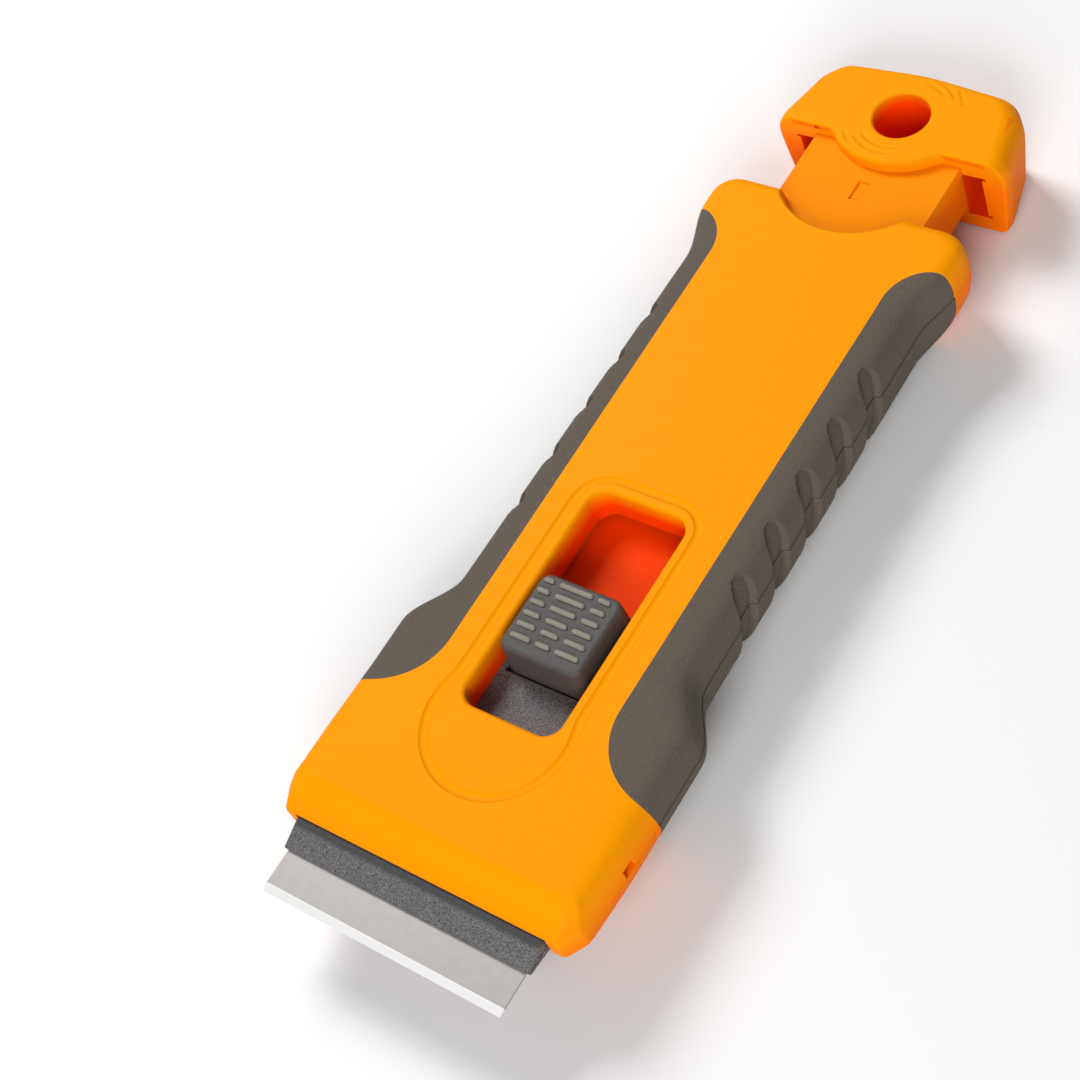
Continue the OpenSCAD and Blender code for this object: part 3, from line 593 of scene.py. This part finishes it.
@dataclass
class HandleForm:
    """The handle's outer form: a plan outline drawn in by level-dependent falls."""

    front: float = -58.6
    tail: float = 58.6
    part: float = 10.5
    top: float = 16.0
    nose: float = 24.9
    nose_in: float = 0.4
    front_half: float = 22.9
    waist: float = 20.3
    neck: float = 19.6
    bulge: float = 21.4
    tail_r: float = 3.8
    chamfer: float = 3.2
    shoulder: float = -27.7
    waist_y: float = -18.2
    bulge_y0: float = 43.3
    bulge_y1: float = 51.8
    pitch: float = 9.05
    recess_mid: float = 11.4
    recess_l: float = 4.2
    recess_d: float = 1.0
    recess_top: float = 15.15
    recess_r: float = 1.8
    lean: float = 0.5
    lean_low: float = 0.3
    recess_wall: float = 0.26
    low_half: float = 15.9
    low_tail: float = 1.1
    foot_r: float = 0.6
    lip: float = 0.14
    lip_h: float = 1.5
    front_l: float = 14.0
    tail_l: float = 10.0
    nose_share: Sequence[Point] = ((-58.6, 0.35), (-42.0, 0.85), (-35.0, 1.0))
    side_rows: Sequence[Point] = (
        (10.5, 0.0), (11.5, 0.1), (12.5, 0.3), (13.5, 0.7), (14.3, 1.25), (14.8, 1.75), (15.1, 2.2),
        (15.35, 2.75), (15.55, 3.4), (15.7, 4.1), (15.83, 5.0), (15.93, 6.0), (16.0, 7.4),
    )
    low_levels: Sequence[float] = (0.1, 0.3, 0.6, 1.3, 2.4, 4.0, 6.0, 8.0, 9.5)
    front_rows: Sequence[Point] = (
        (12.9, 0.0), (13.2, 0.08), (13.45, 0.3), (13.65, 0.65), (13.9, 1.1), (14.5, 2.1), (15.2, 3.3),
        (15.6, 4.05), (15.85, 4.7), (15.96, 5.3), (16.0, 6.0),
    )
    tail_rows: Sequence[Point] = (
        (0.0, 1.2), (0.3, 0.7), (1.0, 0.3), (2.2, 0.0), (13.6, 0.0), (14.6, 0.2), (15.3, 0.55),
        (15.7, 1.0), (15.93, 1.6), (16.0, 2.2),
    )

    def half(self, y: float) -> float:
        """Half width of the handle at a place along it."""
        corner = self.front + self.chamfer
        if y < corner:
            near = self.nose - self.nose_in
            return self.front_half + (near - self.front_half) * (y - self.front) / self.chamfer
        if y < self.shoulder:
            return self.nose - self.nose_in + self.nose_in * ease((y - corner) / 12)
        if y < self.waist_y:
            t = (y - self.shoulder) / (self.waist_y - self.shoulder)
            return self.nose + (self.waist - self.nose) * ease(t)
        if y < self.bulge_y0:
            return self.waist + (self.neck - self.waist) * (y - self.waist_y) / (self.bulge_y0 - self.waist_y)
        if y < self.tail - self.tail_r:
            t = (y - self.bulge_y0) / (self.bulge_y1 - self.bulge_y0)
            return self.neck + (self.bulge - self.neck) * ease(t)
        reach = min(self.tail_r, y - self.tail + self.tail_r)
        return self.bulge - self.tail_r + math.sqrt(max(0.0, self.tail_r**2 - reach**2))

    def plan(self, count: int) -> Outline:
        """Plan outline at the joint's level, with small rounds at its corners."""
        spots = [self.front + 0.25 * i for i in range(int((self.tail - self.front) / 0.25))]
        turns = [self.tail - self.tail_r + self.tail_r * math.sin(math.radians(a)) for a in range(0, 91, 6)]
        rows = sorted(set(s for s in spots if s < turns[0]) | set(turns))
        right = [(self.half(y), y) for y in rows]
        left = [(-x, y) for x, y in reversed(right)]
        return soften(resample(right + left, count), max(1, round((count / 700) ** 2)))

    def share(self, y: float) -> float:
        """Share of the top edge's rounding: full along the grips, less at nose and tail."""
        return table(y, self.nose_share) - 0.6 * ease((y - self.bulge_y0 + 2) / 12)

    def fall(self, y: float, z: float) -> float:
        """Amount that the sides are drawn in at a place and a level."""
        if z > self.part:
            return table(z, self.side_rows) * self.share(y)
        flat = self.low_half + self.low_tail * ease((y - self.bulge_y0) / 8)
        edge = self.foot_r * max(0.0, 1 - z / self.foot_r) ** 2
        return (self.half(y) - flat) * ((self.part - z) / self.part) ** 2 + edge

    def recess(self, y: float, z: float) -> float:
        """Depth of the finger recesses at a place on the grips."""
        r = self.recess_r
        lean = self.lean if z > self.part else self.lean * self.lean_low
        up = z - self.recess_top + r
        nearest = math.inf
        for i in range(-2, 3):
            off = y - self.recess_mid - i * self.pitch - lean * (z - self.part)
            along = abs(off) - self.recess_l / 2 + r
            gap = math.hypot(max(along, 0.0), max(up, 0.0)) + min(max(along, up), 0.0) - r
            nearest = min(nearest, gap)
        return self.recess_d * min(1.0, max(0.0, 0.5 - nearest / self.recess_wall))

    def ring(self, outline: Outline, z: float, inset: float = 0.0, recessed: bool = False) -> list[Vector]:
        """Outline at one level.

        Args:
            outline: Plan outline at the joint's level.
            z: Height of the level.
            inset: Even thickness taken off the sides.
            recessed: Presses the finger recesses in.

        Returns:
            The ring's points.
        """
        ahead = table(z, self.front_rows)
        behind = table(z, self.tail_rows)
        ring = []
        for x, y in outline:
            along = min(max(y, self.front), self.tail - 1.5)
            reach = self.half(along)
            fall = self.fall(along, z) + inset
            if recessed:
                fall += self.recess(y, z)
                if self.part < z < self.part + self.lip_h:
                    fall += self.lip * (1 - ease((z - self.part) / self.lip_h))
            near = max(0.0, 1 - (y - self.front) / self.front_l)
            far = max(0.0, 1 - (self.tail - y) / self.tail_l)
            ring.append(Vector((x * (reach - fall) / reach, y + ahead * near**2 - behind * far**2, z)))
        return ring

    def solid(
        self, name: str, count: int, z0: float, z1: float, inset: float = 0.0, recessed: bool = False
    ) -> Solid:
        """The form between two levels.

        Args:
            name: Name of the mesh.
            count: Points round the outline.
            z0: Lowest level.
            z1: Highest level.
            inset: Even thickness taken off the sides.
            recessed: Presses the finger recesses in.

        Returns:
            The closed solid.
        """
        outline = self.plan(count)
        rows = {*self.low_levels, *(z for z, _ in (*self.side_rows, *self.front_rows))}
        if recessed:
            rows |= {0.75 * i for i in range(14)} | {self.part + 0.2 * i for i in range(25)}
        levels = [z0] + sorted(z for z in rows if z0 + 0.03 < z < z1 - 0.01) + [z1]
        levels = [z for i, z in enumerate(levels) if i == 0 or z - levels[i - 1] > 0.02]
        return Solid.loft(name, [self.ring(outline, z, inset, recessed) for z in levels])


@dataclass
class Handle:
    """Two shells with the thumb window, and four soft grips."""

    form: HandleForm = field(default_factory=HandleForm)
    seam: float = 0.05
    grip_in: float = 14.3
    rear_r: float = 7.2
    front_r: float = 10.4
    window_half: float = 7.9
    window_y: Point = (-35.3, 1.0)
    window_r: float = 2.6
    rim: float = 0.7
    roof: float = 13.8
    deck: float = 9.5
    ring_r: float = 10.85
    band: float = 2.1
    line_r: float = 1.0
    line_d: float = 0.32
    arc_y: float = 66.2
    arc_r: float = 13.3
    lid_top: float = 12.9
    core_z: Point = (0.9, 15.2)
    core_in: float = 1.5
    slot_half: float = 20.95
    slot_z: Point = (9.0, 13.2)
    main_half: float = 15.2
    main_y: Point = (-31.6, 56.6)
    wall: float = 2.2
    rail_z: float = 12.5
    high_half: float = 13.4
    mouth_half: float = 12.3
    mouth_z: Point = (4.35, 13.05)
    skirt_half: float = 9.7
    skirt_z: float = 11.2
    stop_y: float = -1.05
    nose_y: float = -49.6
    latch_y: Point = (-46.2, -44.0)
    latch_z: float = 12.1
    slope_z: float = 9.8
    slope_l: float = 30.6
    deck_y: Point = (-34.6, 2.45)
    deck_low: float = 8.1
    head_r: float = 2.2
    head_z: float = 3.0
    screws: Sequence[Point] = ((11.85, -24.3), (14.6, 54.2))

    def count(self) -> int:
        """Points round the form's outline."""
        return 1000

    def grip_plan(self) -> Outline:
        """Plan of the right grip, from its inner edge outwards."""
        rear = (self.grip_in + self.rear_r, self.form.bulge_y0 + 0.5)
        front = (self.grip_in - 0.2 + self.front_r, self.form.shoulder - 0.1)
        line = arc_points(*front, self.front_r, 270, 180, 30) + arc_points(*rear, self.rear_r, 180, 90, 30)
        return line + [(FAR, rear[1] + self.rear_r), (FAR, front[1] - self.front_r)]

    def grip_space(self) -> Solid:
        """Space of the right grips: their plan, outside the rigid core."""
        space = Solid.prism("space", self.grip_plan(), -2, 18)
        core = self.form.solid("core", 400, *self.core_z, inset=self.core_in)
        return space.work(Cut.TAKE, core)

    def window(self) -> Solid:
        """Cutter of the thumb window, with a round that flares out at its rim."""
        y0, y1 = self.window_y
        rings = []
        for z, grow in self._rim_rows():
            outline = slab(self.window_half + grow, y0 - grow, y1 + grow, self.window_r + grow, 10)
            rings.append([(x, y, z) for x, y in outline])
        return Solid.loft("window", rings)

    def _rim_rows(self) -> list[Point]:
        """Heights and growths of the window's cutter."""
        top = self.form.top
        rows = [(self.deck - 0.05, -0.12), (top - self.rim, 0.0)]
        for a in range(15, 91, 15):
            t = math.radians(a)
            rows.append((top - self.rim + self.rim * math.sin(t), self.rim * (1 - math.cos(t))))
        return rows + [(top + 1, self.rim + 0.3)]

    def groove(self) -> Solid:
        """Sweep that presses the line round the window and the ring before it."""
        y0, y1 = self.window_y
        half = self.window_half + self.band
        ring_y = y0 - 0.8
        meet = math.asin(half / self.ring_r)
        corner = self.window_r + self.band
        open_by = 90 + math.degrees(meet)
        path = arc_points(0, ring_y, self.ring_r, open_by, 540 - open_by, 48)
        for x, start in ((half - corner, 0), (corner - half, 90)):
            path += arc_points(x, y1 + self.band - corner, corner, start, start + 90, 9)
        path = soften(resample(path, 260), 6)
        rings = []
        for i, (x, y) in enumerate(path):
            ahead = Vector(path[(i + 1) % len(path)]) - Vector(path[i - 1])
            side = Vector((ahead.y, -ahead.x)).normalized()
            z = self.form.top - self.line_d + self.line_r
            ring = [
                (x + side.x * out, y + side.y * out, z + up) for out, up in circle(0, 0, self.line_r, 16)
            ]
            rings.append(ring)
        return Solid.loft("groove", rings, closed=True)

    def cavity(self) -> list[Solid]:
        """Cutters of the space that both shells share."""
        y0, y1 = self.main_y
        slot = Solid.across("slot", self.slot_half, (-60, -31), self.slot_z)
        main = Solid.across("main", self.main_half, self.main_y, (self.wall, self.rail_z))
        high = Solid.across("high", self.high_half, (y0 + 0.1, y1), (self.rail_z - 2.5, self.roof))
        mouth = Solid.across("mouth", self.mouth_half, (50, 60), self.mouth_z)
        return [slot, main, high, mouth]

    def upper(self, space: Solid) -> Solid:
        """Upper shell."""
        shell = self.form.solid("upper_shell_body", self.count(), 0.0, self.form.top)
        part = self.form.part + self.seam
        below = Solid.across("below", FAR, (self.nose_y, 70), (-1, part))
        nose = Solid.across("nose", self.slot_half, (-60, self.nose_y + 0.2), (-1, self.slot_z[0] + 0.1))
        y0, y1 = self.window_y
        skirt = Solid.across("skirt", self.skirt_half, (y0 - 0.9, y1 + 1.8), (self.skirt_z, 15))
        stop = Solid.across("stop", self.skirt_half, (self.stop_y, y1 + 1.8), (self.deck + 0.1, 15))
        slot, main, high, mouth = self.cavity()
        slot.work(Cut.TAKE, skirt)
        main.work(Cut.TAKE, skirt, stop)
        high.work(Cut.TAKE, skirt, stop)
        shell.work(Cut.TAKE, below, nose, slot, main, high, mouth, space, space.mirrored())
        shell.work(Cut.TAKE, self.window(), self.groove(), self.hollow(), self.slope())
        for side in (-1, 1):
            x = side * (self.form.nose - 0.9)
            latch_z = (self.form.part - 0.1, self.latch_z)
            shell.work(Cut.TAKE, Solid.box("latch", (x - 0.9, x + 1.8), self.latch_y, latch_z))
        return shell

    def hollow(self) -> Solid:
        """Cutter of the hollow in the tail that takes the cap's boss."""
        outline = circle(0, self.arc_y, self.arc_r, 120)
        rings = []
        for z, grow in ((self.lid_top, -0.4), (15.2, 0.0), (15.7, 0.12), (15.95, 0.4), (16.6, 1.2)):
            scale = (self.arc_r + grow) / self.arc_r
            rings.append([(x * scale, self.arc_y + (y - self.arc_y) * scale, z) for x, y in outline])
        return Solid.loft("arc", rings)

    def slope(self) -> Solid:
        """Cutter of the slope under the nose."""
        low, reach, front = self.slope_z, self.slope_l, self.form.front
        corners = [
            (front - 2, low + 2 * low / reach), (front - 2, -2), (front + reach + 2, -2), (front + reach, 0),
        ]
        return Solid.bar("slope", corners, -FAR, FAR)

    def lower(self, space: Solid) -> Solid:
        """Lower shell with the deck that the carriage runs on."""
        shell = self.form.solid("lower_shell_body", self.count(), 0.0, self.form.part - self.seam)
        slot, main, _, mouth = self.cavity()
        deck = Solid.across("deck", self.main_half + 0.5, self.deck_y, (self.deck_low, self.deck))
        main.work(Cut.TAKE, deck)
        ahead = Solid.across("ahead", FAR, (-60, self.nose_y + self.seam), (-1, 12))
        shell.work(Cut.TAKE, ahead, slot, main, mouth, space, space.mirrored(), self.slope())
        for x, y in self.screws:
            for side in (1, -1):
                head = Solid.prism("head", circle(side * x, y, self.head_r, 40), -1, self.head_z)
                shell.work(Cut.TAKE, head)
        return shell

    def grips(self, space: Solid) -> list[tuple[str, Solid]]:
        """The four grips by CAD node name."""
        part, seam = self.form.part, self.seam
        upper = self.form.solid("grip", self.count() * 2, part + seam, self.form.top, recessed=True)
        lower = self.form.solid("grip", self.count() * 2, 0.0, part - seam, recessed=True)
        upper.work(Cut.KEEP, space)
        lower.work(Cut.KEEP, space)
        return [
            ("upper_grip_right", upper), ("upper_grip_left", upper.mirrored()),
            ("lower_grip_right", lower), ("lower_grip_left", lower.mirrored()),
        ]

    def build(self) -> None:
        """Builds and dresses the shells and grips."""
        space = self.grip_space()
        self.upper(space).hand_over(ORANGE, Body.HANDLE, ["upper_shell"])
        self.lower(space).hand_over(ORANGE, Body.HANDLE, ["lower_shell"])
        for node, solid in self.grips(space):
            solid.name = node + "_rubber"
            solid.hand_over(RUBBER, Body.HANDLE, [node])


# Carriage and button


@dataclass
class Carriage:
    """Blade carriage with its upper and lower jaws."""

    edge: float = 0.2

    def build(self) -> None:
        """Builds and dresses the carriage."""
        body = Solid.node("blade_carriage").bevel(self.edge)
        body.name = "carriage_body"
        body.hand_over(JAW, Body.CARRIAGE, ["blade_carriage"], 40)
        jaw = Solid.node("lower_jaw").bevel(self.edge * 0.6)
        jaw.name = "lower_jaw_body"
        jaw.hand_over(JAW, Body.CARRIAGE, ["lower_jaw"], 40)


@dataclass
class Button:
    """Soft thumb button with rows of raised ribs."""

    y: float = -20.4
    half_x: float = 6.9
    half_y: float = 6.65
    foot_z: float = 11.15
    top_z: float = 17.2
    draw: float = 0.25
    round_r: float = 0.6
    corner: float = 1.6
    rib_w: float = 0.85
    rib_h: float = 0.38
    hollow_half: float = 5.6
    hollow_top: float = 15.7
    rows: Sequence[tuple[float, Point, Point, Point]] = (
        (-15.15, (-5.9, -4.2), (-3.3, 2.2), (3.0, 5.05)),
        (-16.9, (-6.0, -3.9), (-3.0, 1.9), (2.75, 5.2)),
        (-18.75, (-6.0, -3.5), (-2.65, 1.6), (2.5, 5.3)),
        (-20.65, (-5.9, -3.1), (-2.2, 1.4), (2.2, 5.4)),
        (-22.45, (-5.8, -2.7), (-1.85, 1.1), (2.0, 5.5)),
        (-24.3, (-5.7, -2.3), (-1.55, 0.9), (1.7, 5.6)),
    )

    def block(self) -> Solid:
        """The button's body, drawn in and rounded towards its top."""
        shoulder = self.top_z - self.round_r
        levels = [(self.foot_z, 0.0), (self.foot_z + 2.5, self.draw * 0.4), (shoulder, self.draw)]
        for a in range(15, 91, 15):
            t = math.radians(a)
            inset = self.draw + self.round_r * (1 - math.cos(t))
            levels.append((shoulder + self.round_r * math.sin(t), inset))
        rings = []
        for z, inset in levels:
            outline = slab(
                self.half_x - inset, self.y - self.half_y + inset * 1.3, self.y + self.half_y - inset,
                max(0.6, self.corner - inset * 0.3), 8,
            )
            rings.append([(x, y, z) for x, y in outline])
        return Solid.loft("button_body", rings)

    def rib(self, x0: float, x1: float, y: float) -> Solid:
        """One raised rib with round ends and a round back."""
        r = self.rib_w / 2
        rings = []
        h = self.rib_h
        for z, inset in ((-0.3, 0.0), (h * 0.45, 0.02), (h * 0.8, 0.12), (h, 0.26)):
            line = arc_points(x1 - r, y, r - inset, -90, 90, 8) + arc_points(x0 + r, y, r - inset, 90, 270, 8)
            rings.append([(px, py, self.top_z + z) for px, py in line])
        return Solid.loft("rib", rings)

    def build(self) -> None:
        """Builds and dresses the button."""
        block = self.block()
        reach = self.hollow_half - 0.25
        span = (self.y - reach, self.y + reach)
        block.work(Cut.TAKE, Solid.across("hollow", self.hollow_half, span, (10, self.hollow_top)))
        for y, *cells in self.rows:
            for x0, x1 in cells:
                block.work(Cut.JOIN, self.rib(x0, x1, y))
        block.hand_over(BUTTON, Body.BUTTON, ["thumb_button"], 40)


# Magazine


@dataclass
class Magazine:
    """Blade magazine with its lid, and the end cap with the hanging hole."""

    cap_y: float = 71.4
    cap_l: float = 14.75
    cap_half: float = 19.5
    cap_top: float = 15.0
    hole_y: float = 76.8
    hole_r: float = 4.32
    boss_r: float = 12.0
    boss_out: float = 4.1
    blend_r: float = 2.0
    lid_top: float = 12.9
    box_z: float = 4.5
    room_half: float = 12.2
    cap_wall: float = 2.5
    pocket_x: Point = (12.1, 15.4)
    pocket_z: Point = (3.0, 11.7)
    pocket_d: float = 8.0
    notch_x: Point = (15.2, 16.0)
    notch_h: float = 0.5
    cap_rows: Sequence[tuple[float, float, float]] = (
        (0.35, 1.9, 0.0), (0.47, 1.5, 0.0), (0.8, 1.2, 0.0), (1.35, 1.05, 0.0), (3.35, 0.8, 0.0),
        (8.6, 0.25, 0.0), (10.6, 0.1, 0.0), (11.8, 0.12, 0.0), (12.6, 0.25, 0.0), (13.3, 0.5, 0.0),
        (14.0, 1.0, 0.0), (14.45, 1.5, 0.04), (14.75, 2.05, 0.16), (14.9, 2.5, 0.3), (15.0, 3.1, 0.55),
    )
    ripple_r: float = 0.95
    ripple_d: float = 0.14
    ripples: Sequence[tuple[float, float, float]] = (
        (6.3, 200, 120), (7.5, 205, 100), (8.7, 195, 85), (7.0, 35, 65), (8.2, 20, 75), (9.3, 15, 45),
    )

    def cap_outline(self, draw: float, front: float) -> Outline:
        """Plan of the cap, drawn in by one amount at its sides and another at its front face."""
        y0, y1 = self.cap_y + front, self.cap_y + self.cap_l
        half = self.cap_half - draw
        right = [
            (half - 0.3, y0, 0.4), (half - 0.1, y0 + 1.8, 2.5), (half - 2.2, y1 - 4.2 - draw * 0.4, 3.6),
            (half - 4.6, y1 - 1.1 - draw * 0.5, 3.2), (0.0, y1 - draw * 0.5, 40.0),
        ]
        left = [(-x, y, r) for x, y, r in reversed(right[:-1])]
        return resample(rounded([*right, *left], 10), 360)

    def cap(self) -> Solid:
        """End cap, hollow round the magazine's end."""
        rings = [[(x, y, z) for x, y in self.cap_outline(draw, front)] for z, draw, front in self.cap_rows]
        cap = Solid.loft("cap_body", rings)
        y_in = self.cap_y + self.cap_l - self.cap_wall
        cap.work(Cut.JOIN, self.boss())
        cap.work(Cut.TAKE, self.room(y_in))
        cap.work(Cut.JOIN, Solid.prism("tube", circle(0, self.hole_y, self.hole_r + 1.0), 1.3, 14.0))
        dot = Solid.box("dot", (-12.3, -11.4), (self.cap_y - 1, self.cap_y + 1), (14.0, 14.6))
        cap.work(Cut.TAKE, self.hole(), dot, *(self.ripple(*row) for row in self.ripples))
        return cap

    def room(self, y_in: float) -> Solid:
        """Cutter of the cap's inside, with a notched pocket on each side of the magazine."""
        y_out = self.cap_y - 1
        room = Solid.across("room", self.room_half, (y_out, y_in), (self.box_z - 0.05, self.lid_top + 0.05))
        deep = (y_out, self.cap_y + self.pocket_d)
        low, high = self.pocket_z
        for side in (-1, 1):
            pocket_x = tuple(sorted(side * x for x in self.pocket_x))
            notch_x = tuple(sorted(side * x for x in self.notch_x))
            room.work(Cut.JOIN, Solid.box("pocket", pocket_x, deep, self.pocket_z))
            for z in (low, high - self.notch_h):
                room.work(Cut.JOIN, Solid.box("notch", notch_x, deep, (z, z + self.notch_h)))
        return room

    def ripple(self, radius: float, start: float, turn: float) -> Solid:
        """Cutter of one shallow arc pressed into the cap's top round the hole.

        Args:
            radius: Radius of the arc.
            start: Angle at which it starts, in degrees.
            turn: Angle that it covers, in degrees.

        Returns:
            The cutter, a bent rod that thins out at its ends.
        """
        rings = []
        for k in range(41):
            a = math.radians(start + turn * k / 40)
            lift = 0.18 * (1 - ease(min(k, 40 - k) / 12))
            z = self.cap_top - self.ripple_d + lift + self.ripple_r
            rings.append(
                [
                    ((radius + out) * math.cos(a), self.hole_y + (radius + out) * math.sin(a), z + up)
                    for out, up in circle(0, 0, self.ripple_r, 12)
                ]
            )
        return Solid.loft("ripple", rings)

    def boss(self) -> Solid:
        """Boss in front of the hanging hole, over the lid, with hollow rounds at its two ends."""
        middle = self.cap_y - self.boss_out + self.boss_r
        rings = []
        for z, inset, front in (
            (self.lid_top + 0.1, 0.0, 0.0), (14.1, 0.0, 0.0), (14.45, 0.06, 0.04), (14.75, 0.26, 0.16),
            (14.9, 0.45, 0.3), (self.cap_top + 0.002, 0.75, 0.55),
        ):
            face = self.cap_y + front
            r, f = self.boss_r - inset, self.blend_r + inset
            x_f = math.sqrt((r + f) ** 2 - (middle - face + f) ** 2)
            meet = math.degrees(math.atan2(middle - face + f, x_f))
            side = arc_points(-x_f, face - f, f, 90, meet, 12)
            front_arc = arc_points(0, middle, r, 180 + meet, 360 - meet, 60)[1:-1]
            back = [(x_f, self.cap_y + 6), (-x_f, self.cap_y + 6)]
            ring = side + front_arc + [(-x, y) for x, y in reversed(side)] + back
            rings.append([(x, y, z) for x, y in ring])
        return Solid.loft("boss", rings)

    def hole(self) -> Solid:
        """Cutter of the hanging hole with a rounded rim."""
        top = self.cap_top
        rows = [
            (-1, 0.6), (0.7, 0.0), (top - 0.6, 0.0), (top - 0.3, 0.08), (top - 0.08, 0.3), (top + 0.1, 0.75),
        ]
        rings = []
        for z, grow in rows:
            rings.append([(x, y, z) for x, y in circle(0, self.hole_y, self.hole_r + grow, 96)])
        return Solid.loft("hole", rings)

    def build(self) -> None:
        """Builds and dresses the magazine's pieces."""
        self.cap().hand_over(ORANGE, Body.MAGAZINE, ["end_cap"], 40)
        for node in ("magazine_box", "magazine_lid"):
            solid = Solid.node(node)
            if node == "magazine_lid":
                solid.work(Cut.JOIN, Solid.box("plug", (-1.3, 0.9), (62.6, 66.6), (12.0, self.lid_top)))
                solid.work(Cut.TAKE, Solid.box("mark", (-1.2, 0.8), (61.2, 64.8), (12.6, 13.5)))
            solid.bevel(0.12)
            solid.name = node + "_body"
            solid.hand_over(ORANGE, Body.MAGAZINE, [node], 40)


# Studio


@dataclass
class Studio:
    """Floor, lights and the camera at the photo's viewing angle."""

    camera_mm: Place = (142.634, -110.304, 249.365)
    aim_mm: Place = (-21.3886, -2.6391, 0.0)
    roll: float = -28.9448
    lens: float = 71.58
    ambient: float = 0.2
    floor_half: float = 0.6
    aim: Place = (0.0, 0.01, 0.0)

    def camera(self) -> None:
        """Sets the camera as fitted to the photo."""
        data = bpy.data.cameras.new("camera")
        data.lens = self.lens
        data.sensor_width = 36
        data.clip_start = 0.01
        obj = bpy.data.objects.new("camera", data)
        bpy.context.scene.collection.objects.link(obj)
        place, aim = Vector(self.camera_mm) * MM, Vector(self.aim_mm) * MM
        turn = (aim - place).to_track_quat("-Z", "Y").to_matrix().to_4x4()
        roll = Matrix.Rotation(math.radians(self.roll), 4, "Z")
        obj.matrix_world = Matrix.Translation(place) @ turn @ roll
        bpy.context.scene.camera = obj

    def lamp(self, name: str, place: Place, size: float, power: float) -> None:
        """Adds a square soft light that faces the object.

        Args:
            name: Name of the light.
            place: Place in metres.
            size: Side of the square in metres.
            power: Power in watts.
        """
        data = bpy.data.lights.new(name, "AREA")
        data.size = size
        data.energy = power
        obj = bpy.data.objects.new(name, data)
        bpy.context.scene.collection.objects.link(obj)
        obj.location = place
        obj.rotation_euler = (Vector(self.aim) - Vector(place)).to_track_quat("-Z", "Y").to_euler()

    def world(self) -> None:
        """Even white surroundings, plain white to the camera."""
        world = bpy.data.worlds.new("studio")
        bpy.context.scene.world = world
        world.use_nodes = True
        tree = world.node_tree
        back = tree.nodes["Background"]
        back.inputs["Color"].default_value = (1, 1, 1, 1)
        path = tree.nodes.new("ShaderNodeLightPath")
        mix = tree.nodes.new("ShaderNodeMix")
        mix.inputs["A"].default_value = self.ambient
        mix.inputs["B"].default_value = 1.0
        tree.links.new(path.outputs["Is Camera Ray"], mix.inputs["Factor"])
        tree.links.new(mix.outputs["Result"], back.inputs["Strength"])

    def floor(self) -> None:
        """Adds the pale floor under the object."""
        bm = bmesh.new()
        bmesh.ops.create_grid(bm, x_segments=1, y_segments=1, size=self.floor_half)
        mesh = bpy.data.meshes.new("floor")
        bm.to_mesh(mesh)
        bm.free()
        obj = bpy.data.objects.new("floor", mesh)
        bpy.context.scene.collection.objects.link(obj)
        obj.location = (0, 0, -0.0002)
        made = bpy.data.materials.new("floor")
        made.use_nodes = True
        shader = made.node_tree.nodes["Principled BSDF"]
        shader.inputs["Base Color"].default_value = (0.93, 0.93, 0.93, 1)
        shader.inputs["Roughness"].default_value = 0.9
        shader.inputs["Specular IOR Level"].default_value = 0.1
        mesh.materials.append(made)

    def build(self) -> None:
        """Sets up the whole studio."""
        self.floor()
        self.world()
        self.lamp("key", (-0.4, 0.24, 0.48), 0.25, 3.25)
        self.lamp("front", (0.3, -0.6, 0.4), 0.4, 4.5)
        self.camera()
        bpy.context.scene.view_settings.view_transform = "Standard"


def dress_rest() -> None:
    """Gives each CAD node that still shows its finish."""
    looks = {
        "shell_screws": STEEL, "jaw_screws": STEEL, "button_spring": STEEL, "gate_pin": STEEL,
        "button_core": INNER, "gate": ORANGE, "scraper_blade": BLADE,
        **{f"spare_blade_{i}": BLADE for i in range(1, 6)},
    }
    for node, look in looks.items():
        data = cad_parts[node].data
        data.materials.clear()
        data.materials.append(look.material())


def main() -> None:
    """Builds every sub-assembly in order."""
    logging.basicConfig(level=logging.INFO, format="%(message)s")
    for part in (Handle(), Carriage(), Button(), Magazine()):
        LOG.info("building %s", type(part).__name__)
        part.build()
    dress_rest()
    Studio().build()
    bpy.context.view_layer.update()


if __name__ == "__main__":
    main()
